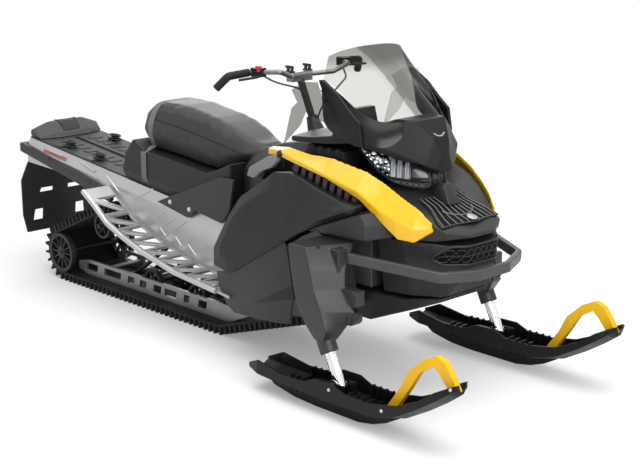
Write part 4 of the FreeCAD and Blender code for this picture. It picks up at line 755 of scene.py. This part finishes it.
STRAP_STATION = -0.5825
STRAP_WIDTH = 0.036
STRAP_WALL = 0.003
STRAP_RISE = 0.0035
STRAP_FOOT = 0.65
STRAP_STEP = 0.024
STRAP_STEPS = 9
STRAP_BELOW = 4
STRAP_SWEEP = 188
STRAP_TURNS = 16
STRAP_REACH = 0.5
STRAP_CENTRE = Vector((STRAP_STATION, 0, 0.9))


def under_strap(start, direction):
    """Where the strap lies when it is laid on the cushion and the seat base from this direction."""
    spots = []
    for target in (cushion, "seat_base"):
        try:
            spots.append(struck(target, start, direction)[0])
        except ValueError:
            continue
    return min(spots, key=lambda spot: (spot - start).length) - direction * STRAP_RISE


strap_side = [under_strap(Vector((STRAP_STATION, -ASIDE, STRAP_FOOT + STRAP_STEP * step)), Vector((0, 1, 0)))
              for step in range(STRAP_STEPS)]
strap_route = list(strap_side)
for number in range(STRAP_TURNS + 1):
    angle = math.radians(180 + STRAP_BELOW - number * (STRAP_SWEEP / STRAP_TURNS))
    outward = Vector((0, math.cos(angle), math.sin(angle)))
    strap_route.append(under_strap(STRAP_CENTRE + outward * STRAP_REACH, -outward))
strap_route += [Vector((spot.x, -spot.y, spot.z)) for spot in reversed(strap_side)]
webbing = woven("strap_webbing", (0.1, 0.1, 0.1), (0.2, 0.2, 0.2), 90, 0.0003)
strap = finished("grab_strap", [ribbon(strap_route, (STRAP_WIDTH, 0, 0), STRAP_WALL)], webbing,
                 smooth=60)
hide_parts("seat_strap")

# Console and foot plates: a black moulding before the seat, and grey plates that tie its base to the tunnel.
# Two flanged bolts hold each plate.
grey_plastic = moulded("grey_panel", (0.022, 0.022, 0.023), (0.042, 0.042, 0.044), 0.42, 700, 0.0003, 0.003, shine=0.3)
faired("console", 0.0045, 5, black_plastic)
grey_plastic.cover("foot_plates")
PLATE_BOLTS = ((170, 201.9), (189.1, 209.4))
plate_bolts = [(on_side(seen("foot_plates", *pixel), side), (0, side, 0)) for pixel in PLATE_BOLTS for side in (-1, 1)]
bolted("plate_bolts", plate_bolts, zinc, 1.1)

# Track and running boards: a moulded rubber belt with tapered lugs over spoked wheels and slotted rails.
# The rubber is matt and dusty, and the rails and the lattice boards beside the track are bare aluminium.
track_rubber = moulded("track_rubber", (0.006, 0.006, 0.006), (0.018, 0.018, 0.018), 0.62, 400, 0.0006, 0.003,
                       shine=0.25)
track_rubber.cover("track")
wheel_plastic = moulded("wheel_plastic", (0.009, 0.009, 0.0095), (0.024, 0.024, 0.025), 0.42, 500, 0.0003, 0.002,
                        shine=0.3)
wheel_plastic.cover("idler_wheels")
rail_metal = moulded("rail_metal", (0.22, 0.222, 0.226), (0.44, 0.443, 0.45), 0.4, 300, 0.0002, 0.002, metallic=0.85)
rail_metal.cover("slide_rails", "engine_block")
board_metal = moulded("board_aluminium", (0.3, 0.303, 0.31), (0.58, 0.584, 0.592), 0.34, 300, 0.0002, 0.0015,
                      metallic=0.85)
board_metal.cover("running_board_right", "running_board_left")

# Side panels: large charcoal mouldings that lean in above a soft crease, over plain lower panels.
# Each lower panel has an apron with two ridges and a black plate where its recess is, painted shade of the recess, and
# a pale knee corner stands behind the side panel.
# Dark louvres fill the gap under the yellow panels, a knob holds each of those, and the names are left off.
charcoal = moulded("charcoal_panel", (0.008, 0.008, 0.0085), (0.02, 0.02, 0.021), 0.38, 700, 0.0002, 0.003, shine=0.25)
CREASE_PIXELS = [(241, 200.4), (265.9, 210.2), (288.7, 220), (301.7, 222.1), (310.4, 222.1), (332, 213.5)]
CREASE_REAR = (-0.3, 0, 0.11)
CREASE_AHEAD = (0.3, 0, 0.1)
PANEL_INNER = 0.33
LEAN_HEIGHT = 0.16
LEAN_SLOPE = 0.07
STEP_DEPTH = 0.006
STEP_HEIGHT = 0.02
crease_places = [seen("side_panel_right", *pixel) for pixel in CREASE_PIXELS]
crease_places.insert(0, crease_places[0] + Vector(CREASE_REAR))
crease_places.append(crease_places[-1] + Vector(CREASE_AHEAD))


def above_crease(place):
    """How far a place on a side panel stands above its crease."""
    for low, high in zip(crease_places, crease_places[1:]):
        if low.x <= place.x <= high.x:
            return place.z - low.z - (high.z - low.z) * (place.x - low.x) / (high.x - low.x)
    return 0


for side_name, side in (("right", -1), ("left", 1)):
    skin = faired("side_panel_" + side_name, 0.0045, 6, charcoal)
    for vertex in skin.data.vertices:
        if vertex.co.y * side > PANEL_INNER:
            height = above_crease(vertex.co)
            lean = min(max(height, 0), LEAN_HEIGHT) * LEAN_SLOPE
            lean += STEP_DEPTH * min(max(height / STEP_HEIGHT + 0.5, 0), 1)
            vertex.co.y -= side * lean
    faired("lower_panel_" + side_name, 0.004, 5, grey_plastic)
PANEL_SPOTS = [seen("lower_panel_right", *pixel) for pixel in ((245, 290), (280, 305), (275, 262))]
PANEL_FACING = (PANEL_SPOTS[1] - PANEL_SPOTS[0]).cross(PANEL_SPOTS[2] - PANEL_SPOTS[0]).normalized()
if PANEL_FACING.y > 0:
    PANEL_FACING.negate()
PANEL_OUTLINE = [(217, 271), (229, 270.5), (243, 263), (262, 251), (284, 239.5), (289.5, 262), (293, 300),
                 (290, 324.5), (275, 322.5), (252, 317.5), (234.5, 312.5), (226.5, 303.5), (223.8, 296),
                 (219.2, 285.5)]
FLANGE = ((285.4, 244), (288.6, 262), (291.6, 285), (293.4, 300))
RIDGES = (((249.8, 303.8), (291, 285.6)), ((249.8, 303.8), (293, 300)))
RECESS_OUTLINE = [(250.5, 303.2), (291, 286.2), (292.6, 299.4)]


def plate(places, wall, edge=0.0015):
    """A flat plate with this outline and rounded edges."""
    applied(outline(places), SOLIDIFY={"thickness": wall, "offset": 0})
    face_outward()
    return rounded(edge)


def on_panel(pixels, proud):
    """These pixels' places on the lower panel's own plane, standing this proud of it."""
    return [on_plane(*pixel, PANEL_SPOTS[0] + PANEL_FACING * proud, PANEL_FACING) for pixel in pixels]


shapes = [plate(on_panel(PANEL_OUTLINE, 0.001), 0.005), bead(on_panel(FLANGE, 0.003), 0.003)]
shapes += [bead(on_panel(line, 0.003), 0.0014) for line in RIDGES]
finished("lower_panel_aprons", both_sides(shapes), grey_plastic)
KNEE_OUTLINE = [(249, 175), (251.5, 166.5), (261, 161), (270, 156), (277, 154.8), (279, 160), (273.5, 167),
                (263, 171), (256, 178)]
KNEE_FACE = Vector((0, -0.335, 0))
KNEE_WALL = 0.03
knee = plate([on_plane(*pixel, KNEE_FACE, Vector((0, 1, 0))) for pixel in KNEE_OUTLINE], KNEE_WALL, 0.005)
knee_grey = moulded("knee_grey", (0.13, 0.13, 0.133), (0.22, 0.22, 0.225), 0.4, 500, 0.0002, 0.003)
finished("knee_corners", both_sides([knee]), knee_grey)
# A black plate laid on the apron: painted shade of the recess.
recess_shade = plate(on_panel(RECESS_OUTLINE, 0.0036), 0.001, 0.0002)
finished("lower_panel_recess_shades", both_sides([recess_shade]), black_plastic)
knob_place = seen("hood_panel_right", 280, 153.5)
bolted("panel_knobs", [(on_side(knob_place, side), (0, side, 0.5)) for side in (-1, 1)], black_zinc,
       1.6)
louvre_plastic = moulded("louvre_plastic", (0.007, 0.007, 0.007), (0.02, 0.02, 0.021), 0.32, 700, 0.0002, 0.002,
                         shine=0.4)
louvre_plastic.cover("side_vents")

# Front mouldings: belly pan, nose, hood, cowls and the bent front bumper.
# All are moulded plastic over the frame.
hood_plastic = moulded("hood_plastic", (0.011, 0.011, 0.0115), (0.027, 0.027, 0.028), 0.42, 700, 0.0003, 0.003,
                       shine=0.35)
bumper_plastic = moulded("bumper_plastic", (0.035, 0.035, 0.036), (0.075, 0.075, 0.078), 0.34, 600, 0.0003, 0.004,
                         shine=0.4)
gloss_black = moulded("gloss_black", (0.004, 0.004, 0.004), (0.009, 0.009, 0.009), 0.16, 300, 0.00005, 0.002,
                      shine=0.45)
for side_name in ("right", "left"):
    faired("front_cowl_" + side_name, 0.0035, 5, grey_plastic)
hood = faired("hood", 0.0035, 5, hood_plastic)
nose = faired("nose", 0.003, 4, hood_plastic, keep=0.35)
faired("belly_pan", 0.005, 5, black_plastic)
faired("front_bumper", 0.0035, 6, bumper_plastic)

# Hood grille: a near black insert with almost no gloss, painted shade in the openings between the slats, under long
# thin slats that run forward and spread.
# A plain round boss closes it in front, a faceted bridge stands between it and the lamps, and a pin is its catch.
GRILLE_SIDE = [(418.5, 201.5), (428.5, 210), (435.8, 222.8), (441.7, 231.5)]
GRILLE_BACK = 1.105
GRILLE_FRONT = 1.298
GRILLE_ROWS = 12
GRILLE_COLUMNS = 24
SLATS = (-0.92, -0.74, -0.55, -0.36, -0.18, 0, 0.18, 0.36, 0.55, 0.74, 0.92)
GRILLE_PROUD = 0.002
GRILLE_WALL = 0.006
GRILLE_SEARCH = [0.95 + 0.01 * step for step in range(39)]
SLAT_STEPS = 10
SLAT_RADIUS = 0.0021
CROSS_SLAT = ((0.5, -0.62), (0.62, -0.4), (0.7, -0.14), (0.7, 0.14), (0.62, 0.4), (0.5, 0.62))
RIM_RADIUS = 0.004
BOSS_RADIUS = 0.022
BOSS_HEIGHT = 0.009
RING_RADIUS = 0.0275
RING_HEIGHT = 0.007
BRIDGE_CENTRE = Vector((1.135, 0, 0.845))
BRIDGE_SIZE = (0.1, 0.078, 0.075)
BRIDGE_BACK = 1.115
CATCH_HALF = 0.12
CATCH_RADIUS = 0.006


def level_at(shape, x):
    """The height of a line of (x, z) places at one x."""
    for (low_x, low_z), (high_x, high_z) in zip(shape, shape[1:]):
        if low_x <= x <= high_x:
            return low_z + (high_z - low_z) * (x - low_x) / (high_x - low_x)
    return shape[-1][1]


def taut(line):
    """The line through (x, z) places, drawn tight over its dips."""
    tight = []
    for spot in line:
        while len(tight) > 1 and ((tight[-1][1] - tight[-2][1]) * (spot[0] - tight[-2][0])
                                  <= (spot[1] - tight[-2][1]) * (tight[-1][0] - tight[-2][0])):
            tight.pop()
        tight.append(spot)
    return tight


def profile(shape, starts, direction, along, up):
    """A shape's outline where lines from these starts strike it, drawn tight over its slots."""
    line = []
    for start in starts:
        try:
            spot = struck(shape, start, direction)[0]
        except ValueError:
            continue
        line.append((spot[along], spot[up]))
    return taut(line)


def sheet_of(rows, wall, levels=2):
    """A smooth curved sheet through rows of places."""
    put_down()
    bpy.ops.mesh.primitive_grid_add(x_subdivisions=len(rows[0]) - 1, y_subdivisions=len(rows) - 1, size=1)
    sheet = bpy.context.object
    for vertex in sheet.data.vertices:
        column = round((vertex.co.x + 0.5) * (len(rows[0]) - 1))
        row = round((vertex.co.y + 0.5) * (len(rows) - 1))
        vertex.co = rows[row][column]
    applied(sheet, SUBSURF={"levels": levels, "render_levels": levels}, SOLIDIFY={"thickness": wall, "offset": 0})
    face_outward()
    return sheet


grille_side = [seen(hood, *pixel) for pixel in GRILLE_SIDE]


def on_grille(down, across):
    """A place on the grille: down from its back edge to its front, and across from its middle to its side."""
    share = down * (len(grille_side) - 1)
    number = min(int(share), len(grille_side) - 2)
    edge = grille_side[number].lerp(grille_side[number + 1], share - number)
    x = GRILLE_BACK + (GRILLE_FRONT - GRILLE_BACK) * down
    return x + (edge.x - x) * abs(across), -edge.y * across


insert_rows = []
for number in range(GRILLE_ROWS + 1):
    row = []
    for column in range(GRILLE_COLUMNS + 1):
        x, y = on_grille(number / GRILLE_ROWS, column / GRILLE_COLUMNS * 2 - 1)
        over = profile(hood, [(start, y, ABOVE) for start in GRILLE_SEARCH], (0, 0, -1), 0, 2)
        row.append(Vector((x, y, level_at(over, x))))
    crown = taut([(spot.y, spot.z) for spot in row])
    insert_rows.append([Vector((spot.x, spot.y, level_at(crown, spot.y) + GRILLE_PROUD)) for spot in row])
insert = sheet_of(insert_rows, GRILLE_WALL, 1)
insert.name = "grille_insert"


def over_grille(down, across, rise=0.0):
    """The same place on the insert's upper face, or this much over it."""
    return from_above(insert, *on_grille(down, across)) + Vector((0, 0, rise))


# The slats are pale grey: painted highlights along black slats.
slat_highlight_paint = moulded("slat_highlight_paint", (0.09, 0.09, 0.092), (0.24, 0.24, 0.245), 0.25, 300, 0.0001, 0.001, shine=0.5)
slats = []
for across in SLATS:
    route = [over_grille(0.03 + 0.94 * step / SLAT_STEPS, across, 0.001) for step in range(SLAT_STEPS + 1)]
    slats.append(bead(route, SLAT_RADIUS))
slats.append(bead([over_grille(*spot, 0.001) for spot in CROSS_SLAT], SLAT_RADIUS))
finished("grille_slats", slats, slat_highlight_paint)
# The rim runs across the insert's back edge, down one side, across its front and up the other side.
rim = [over_grille(0.01, 0.98 - 0.08 * step) for step in range(25)]
rim += [over_grille(0.01 + 0.98 * step / 8, -0.98) for step in range(9)]
rim += [over_grille(0.985, -0.98 + 0.08 * step) for step in range(25)]
rim += [over_grille(0.985 - 0.98 * step / 8, 0.98) for step in range(8)]
finished("grille_rim", [bead(rim, RIM_RADIUS, True)], hood_plastic)
boss_place = over_grille(0.86, 0)
boss_facing = struck(insert, boss_place + Vector((0, 0, 0.5)), (0, 0, -1))[1]
boss = peg(boss_place, boss_place + boss_facing * BOSS_HEIGHT, BOSS_RADIUS, 0.002, 32)
ring = peg(boss_place, boss_place + boss_facing * RING_HEIGHT, RING_RADIUS, 0.002, 32)
satin = moulded("satin_metal", (0.35, 0.35, 0.35), (0.6, 0.6, 0.6), 0.3, 300, 0.0001, 0.001, metallic=0.8)
finished("grille_boss", [boss], satin)
finished("grille_boss_ring", [ring], gloss_black)
# Near black and almost without gloss: painted shade of the openings behind the slats and the honeycomb.
grille_gap_shade = moulded("grille_gap_shade", (0.003, 0.003, 0.003), (0.006, 0.006, 0.006), 0.5, 300, 0.0001, 0.002,
                       shine=0.06)
finished("hood_grille", [insert], grille_gap_shade, smooth=60)
put_down()
bpy.ops.mesh.primitive_cube_add(size=1, location=BRIDGE_CENTRE, scale=BRIDGE_SIZE)
bpy.ops.object.transform_apply()
for vertex in bpy.context.object.data.vertices:
    if vertex.co.z > BRIDGE_CENTRE.z:
        vertex.co.x = BRIDGE_BACK + (vertex.co.x - BRIDGE_CENTRE.x) * 0.5
        vertex.co.y *= 0.6
finished("grille_bridge", [rounded(0.006)], hood_plastic)
catch_ends = [over_grille(0.24, across, 0.004) for across in (-CATCH_HALF, CATCH_HALF)]
finished("grille_catch", [peg(*catch_ends, CATCH_RADIUS, 0.002)], satin)

# Nose grille: a black honeycomb in a rounded frame, under the hood's chin.
# The mesh is moulded in one piece and its frame stands a little proud; the near black sheet behind it is painted shade
# in its openings.
COMB_PITCH = 0.036
COMB_HALF = 0.0175
COMB_RISE = 0.0135
COMB_FOOT = 0.545
COMB_STEP = 0.026
COMB_ROWS = 5
COMB_RADIUS = 0.0024
FRAME_RADIUS = 0.0055
MESH_SEARCH = [0.46 + 0.01 * step for step in range(22)]
MESH_ROWS = 6
MESH_COLUMNS = 24
mesh_tip = seen(nose, 432.5, 258)
mesh_top = [seen(nose, 480, 241.5), seen(nose, 448.5, 247)]
mesh_foot = [seen(nose, 478, 262), seen(nose, 441, 265)]
top_line, foot_line = [
    [(0, middle.z), (abs(corner.y), corner.z), (abs(mesh_tip.y) * 1.01, mesh_tip.z + rise)]
    for (middle, corner), rise in ((mesh_top, 0.004), (mesh_foot, -0.004))]
mesh_rows = []
for number in range(MESH_ROWS + 1):
    row = []
    for column in range(MESH_COLUMNS + 1):
        y = abs(mesh_tip.y) * (column / MESH_COLUMNS * 2 - 1)
        low, high = level_at(foot_line, abs(y)), level_at(top_line, abs(y))
        z = low + (high - low) * number / MESH_ROWS
        over = profile(nose, [(AHEAD, y, start) for start in MESH_SEARCH], (-1, 0, 0), 2, 0)
        row.append(Vector((level_at(over, z), y, z)))
    bow = taut([(spot.y, spot.x) for spot in row])
    mesh_rows.append([Vector((level_at(bow, spot.y) + 0.002, spot.y, spot.z)) for spot in row])
mesh_panel = sheet_of(mesh_rows, 0.005, 1)
mesh_panel.name = "mesh_panel"
comb = []
for row in range(COMB_ROWS):
    for column in range(-7, 8):
        cell = []
        for corner in range(6):
            angle = math.radians(60 * corner)
            y = column * COMB_PITCH + (row % 2) * COMB_PITCH / 2 + math.cos(angle) * COMB_HALF
            z = COMB_FOOT + row * COMB_STEP + math.sin(angle) * COMB_RISE
            try:
                cell.append(from_front(mesh_panel, y, z))
            except ValueError:
                continue
        if len(cell) == 6:
            comb.append(bead(cell, COMB_RADIUS, True))
frame_line = [row[0] for row in mesh_rows] + mesh_rows[-1][1:-1] + [row[-1] for row in reversed(mesh_rows)]
frame_line += list(reversed(mesh_rows[0][1:-1]))
comb.append(bead(frame_line, FRAME_RADIUS, True))
finished("nose_honeycomb", comb, hood_plastic)
finished("nose_grille", [mesh_panel], grille_gap_shade, smooth=60)

# Yellow panels: painted and clear coated mouldings that run from the console to the chin.
# Their edges are softly rounded, and their name is left off.
yellow = moulded("yellow_paint", (0.7, 0.39, 0.003), (0.84, 0.49, 0.008), 0.3, 300, 0.0001, 0.003, coat_weight=0.5,
                 coat_roughness=0.1, shine=0.3)
for side_name in ("right", "left"):
    faired("hood_panel_" + side_name, 0.0025, 10, yellow, keep=0.5)

# Windshield pod: the black moulding that carries the screen, with tall cheeks up the screen's sides.
# The cheeks are glossy, the lamps stand under its front edge, and a pale slot marks its visor.
# Two ribbed intake ducts run under it, and the steering post and the gauge stand behind it.
pod_plastic = moulded("pod_plastic", (0.004, 0.004, 0.0045), (0.01, 0.01, 0.0105), 0.4, 900, 0.0002, shine=0.2)
cheek_gloss = moulded("cheek_gloss", (0.003, 0.003, 0.003), (0.006, 0.006, 0.006), 0.14, 300, 0.00005, 0.002,
                      shine=0.3)
POD_UNDERSIDE = [(0.45, 0.995), (0.7, 1.02), (0.8, 1.034), (0.862, 1.045), (0.9, 1.03), (0.973, 1.012), (1.02, 0.992),
                 (1.09, 0.965), (1.12, 0.93), (1.3, 0.93)]
CHEEK_TOP = [(0.684, 0.262, 1.276), (0.7845, 0.254, 1.237), (0.8485, 0.2375, 1.18), (0.9075, 0.204, 1.136),
             (0.9655, 0.159, 1.123), (1.0005, 0.118, 1.131)]
CHEEK_FOOT = [(0.715, 0.277, 1.1), (0.79, 0.278, 1.06), (0.8685, 0.274, 1.05), (0.93, 0.252, 1.04),
              (0.985, 0.208, 1.03), (1.03, 0.15, 1.03)]
CHEEK_SWELL = Vector((0.3, 0.6, 0.1)) * 0.03
CHEEK_WALL = 0.004
pod = faired("windshield_pod", 0.0035, 7, pod_plastic)
for vertex in pod.data.vertices:
    vertex.co.z = max(vertex.co.z, level_at(POD_UNDERSIDE, vertex.co.x))
cheek_rows = []
for share in (0, 0.25, 0.5, 0.75, 1):
    row = []
    for top, foot in zip(CHEEK_TOP, CHEEK_FOOT):
        spot = Vector(top).lerp(Vector(foot), share) + CHEEK_SWELL * share * (1 - share)
        row.append(Vector((spot.x, -spot.y, spot.z)))
    cheek_rows.append(row)
cheek = sheet_of(cheek_rows, CHEEK_WALL)
finished("pod_cheeks", both_sides([cheek]), cheek_gloss, smooth=60)
VISOR_SLOT = [(413.5, 134.6), (417, 136.6), (422, 137.6), (427, 137.2), (431.5, 134.8)]
visor_grey = moulded("visor_grey", (0.25, 0.25, 0.25), (0.4, 0.4, 0.4), 0.4, 400, 0.0001, 0.001)
slot_spots = traced(pod, VISOR_SLOT, 1.5)
slot_middle = (slot_spots[0].y + slot_spots[-1].y) / 2
slot_line = [from_front(pod, spot.y - slot_middle, spot.z) for spot in slot_spots]
finished("visor_slot", [bead(slot_line, 0.003)], visor_grey)
DUCT_RIBS = (0.61, 0.66, 0.71, 0.76)
RIB_WIDTH = 0.018
ducts = [block((0.58, 0.15, 0.9), (0.8, 0.25, 1.0), 0.012)]
ducts += [block((x, 0.16, 0.91), (x + RIB_WIDTH, 0.256, 1.006), 0.004) for x in DUCT_RIBS]
finished("intake_ducts", both_sides(ducts), pod_plastic)
black_plastic.cover("steering_post")
grey_plastic.cover("gauge")

# Headlamps: a clear lens over a chrome reflector with painted reflections on its facets, three upright light columns
# and a dark bowl.
# A black bezel holds each lamp under the pod, with small ribs along its lower lip.
LAMP_SPOT = Vector((0.967, -0.14, 0.96))
LAMP_FACING = Vector((0.7, -0.68, 0.3)).normalized()
LAMP_OUTLINE = [(357.5, 145), (371, 147), (384, 149.5), (400, 155.5), (415, 161), (429, 167.5), (432, 172),
                (432.5, 182), (415, 181), (397, 178.8), (385, 176.5), (377, 170), (368, 160)]
REFLECTOR = [(360, 147), (372, 148.5), (386, 151.5), (392, 156), (389.5, 176), (385, 175), (377.5, 168.5),
             (368.5, 158.5)]
COLUMNS = [[(391.5, 156), (395.5, 157), (395, 177.5), (390.5, 177)],
           [(398, 158), (402.5, 159.5), (401, 178), (397, 178)],
           [(405.5, 161), (409.5, 162.5), (408.5, 179.5), (404.5, 179)]]
BOWL = [(411, 163), (428, 168.5), (430.5, 180), (411, 179.5)]
LIP = [(384.5, 177.5), (397, 180), (415, 182.3), (432, 183), (430.5, 186.5), (424, 188.6), (411, 187), (396, 183.6)]
LIP_TEETH = [(398, 182), (404, 183.2), (410, 184.2), (416, 185), (422, 185.6)]
TOOTH_RADIUS = 0.0022
BEZEL_RADIUS = 0.0045


def on_lamp(column, row, deep=0.0):
    """The spot on the lamp's own plane, some way behind its lens, at this place in the photograph's frame."""
    return on_plane(column, row, LAMP_SPOT - LAMP_FACING * deep, LAMP_FACING)


def lamp_plate(pixels, deep, wall, bulge=0.0):
    """A plate across the lamp, crowned by bulge."""
    crowned = outline([on_lamp(*pixel, deep) for pixel in pixels])
    bpy.ops.object.mode_set(mode="EDIT")
    bpy.ops.mesh.select_all(action="SELECT")
    bpy.ops.mesh.inset(thickness=0.004, depth=bulge)
    bpy.ops.mesh.inset(thickness=0.006, depth=bulge * 0.5)
    bpy.ops.object.mode_set(mode="OBJECT")
    face_outward()
    applied(crowned, SOLIDIFY={"thickness": wall, "offset": -1})
    return crowned


mirror_chrome = moulded("lamp_chrome", (0.7, 0.7, 0.71), (0.9, 0.9, 0.9), 0.08, 90, 0.004, 0.001, metallic=1.0)
facet_cells_and_glints = mirror_chrome.cells(55)
# Each facet is painted bright at its middle and dark at its rim: painted reflections, over the facets' bumps.
mirror_chrome.wear({"Base Color": mirror_chrome.mix(facet_cells_and_glints.ramp(0.35, 0.8), (0.95, 0.95, 0.95), (0.35, 0.35, 0.35))})
mirror_chrome.relief(facet_cells_and_glints, 0.01)
column_white = moulded("lamp_column", (0.4, 0.4, 0.41), (0.8, 0.8, 0.81), 0.2, 200, 0.0005, 0.001, shine=0.6)
bowl_grey = moulded("lamp_bowl", (0.06, 0.06, 0.062), (0.2, 0.2, 0.205), 0.15, 60, 0.001, 0.001, metallic=0.6)
# The lip's ribs take the same pale grey as the slats: painted highlights on black ribs.
tooth_ends = [[on_lamp(column - 1.6, row - 0.3, -0.0005), on_lamp(column + 1.6, row, -0.0005)]
              for column, row in LIP_TEETH]
for name, finish, shapes in (
        ("lamp_housing", gloss_black, [lamp_plate(LAMP_OUTLINE, 0.028, 0.02)]),
        ("lamp_reflector", mirror_chrome, [lamp_plate(REFLECTOR, 0.024, 0.003, -0.004)]),
        ("lamp_columns", column_white, [lamp_plate(pixels, 0.018, 0.006) for pixels in COLUMNS]),
        ("lamp_bowl", bowl_grey, [lamp_plate(BOWL, 0.022, 0.003, -0.004)]),
        ("lamp_bezel", pod_plastic, [bead([on_lamp(*pixel, 0.002) for pixel in LAMP_OUTLINE], BEZEL_RADIUS, True),
                                     lamp_plate(LIP, 0.002, 0.02)]),
        ("lip_teeth", slat_highlight_paint, [bead(ends, TOOTH_RADIUS) for ends in tooth_ends])):
    finished(name, both_sides(shapes), finish, smooth=50)

# Legs, struts and skis: cast legs with their bolts, polished chrome tubes and ribbed plastic skis.
# Each ski carries a flat yellow loop at its tip, held by silver bolts through its sides.
leg_finish = moulded("leg_casting", (0.016, 0.016, 0.017), (0.034, 0.034, 0.036), 0.36, 500, 0.0004, 0.004, shine=0.4)
for side_name in ("right", "left"):
    faired("leg_" + side_name, 0.0028, 8, leg_finish, keep=0.5)
LEG_BOLTS = [((301.7, 240.5), (0.3, -1, 0.2), 0.9), ((318, 246.5), (0.3, -1, 0.2), 0.9),
             ((353.6, 295.6), (0.7, -0.7, 0), 1.4), ((354.7, 317), (0.7, -0.7, 0), 1.4)]
for pixel, (ahead, across, up), size in LEG_BOLTS:
    place = seen("leg_right", *pixel)
    spots = [(on_side(place, side), (ahead, across * -side, up)) for side in (-1, 1)]
    bolted("leg_bolts_%d" % pixel[1], spots, black_zinc, size)
yellow_loop = moulded("yellow_loop", (0.7, 0.39, 0.003), (0.84, 0.49, 0.008), 0.42, 500, 0.0003, 0.002, shine=0.3)
yellow_loop.cover("ski_loop_right", "ski_loop_left")
ski_plastic = moulded("ski_plastic", (0.004, 0.004, 0.0045), (0.011, 0.011, 0.012), 0.36, 500, 0.0003, 0.002,
                      shine=0.18)
ski_plastic.cover("ski_right", "ski_left")
chrome = moulded("chrome", (0.75, 0.755, 0.765), (0.85, 0.855, 0.86), 0.1, 300, 0.00005, 0.001, metallic=1.0)
chrome.cover("strut_right", "strut_left")
SKI_SCREWS = ((381.2, 411), (450, 390), (328.6, 390))
for side_name, side in (("right", -1), ("left", 1)):
    spots = [(on_side(seen("ski_right", *pixel), side), (0, side, 0.1)) for pixel in SKI_SCREWS]
    bolted("ski_bolts_" + side_name, spots, zinc, 0.7, "ski_" + side_name)

# Handlebar and controls: painted tube with rubber grips, moulded switch blocks and a red stop button.
# Two cleats clamp the bar on the riser, over the steering post.
grip_rubber = moulded("grip_rubber", (0.007, 0.007, 0.007), (0.016, 0.016, 0.016), 0.6, 700, 0.0006, 0.001, shine=0.25)
grip_rubber.cover("grips")
control_plastic = moulded("control_plastic", (0.007, 0.007, 0.0075), (0.016, 0.016, 0.017), 0.42, 700, 0.0003, 0.0015,
                          shine=0.3)
control_plastic.cover("controls_right", "controls_left")
bar_paint = moulded("bar_paint", (0.12, 0.12, 0.12), (0.3, 0.3, 0.3), 0.3, 500, 0.0002, 0.002, metallic=0.8)
bar_paint.cover("handlebar")
stop_foot = seen("controls_right", 258.5, 71)
red_plastic = moulded("red_plastic", (0.5, 0.006, 0.01), (0.62, 0.012, 0.016), 0.3, 400, 0.0001, 0.001)
button = [peg(stop_foot + Vector((0, 0, low)), stop_foot + Vector((0, 0, high)), radius, edge, 20)
          for low, high, radius, edge in ((-0.004, 0.017, 0.008, 0.002), (0.012, 0.022, 0.014, 0.003))]
finished("stop_button", button, red_plastic, "steering")
CLEAT_PLACES = (-0.052, 0.052)
CLEAT_BOLT = 0.012
cleats = []
for y in CLEAT_PLACES:
    top = from_above("handlebar", POST_TOP.x - 0.004, y)
    cleats.append(block(top + Vector((-0.022, -0.012, -0.014)), top + Vector((0.022, 0.012, 0.006)), 0.004))
    for x in (CLEAT_BOLT, -CLEAT_BOLT):
        cleats.append(peg(top + Vector((x, 0, 0)), top + Vector((x, 0, 0.022)), 0.007, 0.002))
    cleats.append(block(top + Vector((-0.03, -0.004, 0.016)), top + Vector((0.02, 0.006, 0.028)), 0.004))
finished("riser_cleats", cleats, control_plastic, "steering")

# Screens: smoke tinted polycarbonate, which lets the machine behind it show.
# The windshield's upper band is darker, and its surface is glossy at grazing angles.
def screen(name, tint_low, tint_high, low, high):
    """A clear finish, with one tint below low and another above high."""
    finish = Finish(name, roughness=0.05)
    finish.wear({"Base Color": (0.02, 0.02, 0.02)})
    shade = finish.mix(finish.along(2).ramp(low, high), tint_low, tint_high)
    clear = finish.node("ShaderNodeBsdfTransparent", {}, {"Color": shade})
    gloss = finish.node("ShaderNodeFresnel", {}, {"IOR": 1.4})
    surface = Pattern(finish, finish.shader.outputs[0])
    both = finish.node("ShaderNodeMixShader", {}, {0: gloss * 0.6, 1: clear, 2: surface})
    finish.tree.links.new(both.socket, finish.output.inputs["Surface"])
    return finish


BAND_FOOT = 1.3
BAND_HEAD = 1.36
smoke = screen("smoke_screen", (0.9, 0.895, 0.88), (0.66, 0.65, 0.63), BAND_FOOT, BAND_HEAD)
smoke.cover("windshield", "side_deflector_right", "side_deflector_left")
lens = screen("lamp_lens", (0.93, 0.94, 0.95), (0.93, 0.94, 0.95), 0.8, 1.0)
near_lens = lamp_plate(LAMP_OUTLINE, 0.0, 0.002, 0.003)
lenses = finished("lamp_lenses", both_sides([near_lens]), lens, smooth=60)
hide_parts("headlamp_right", "headlamp_left")
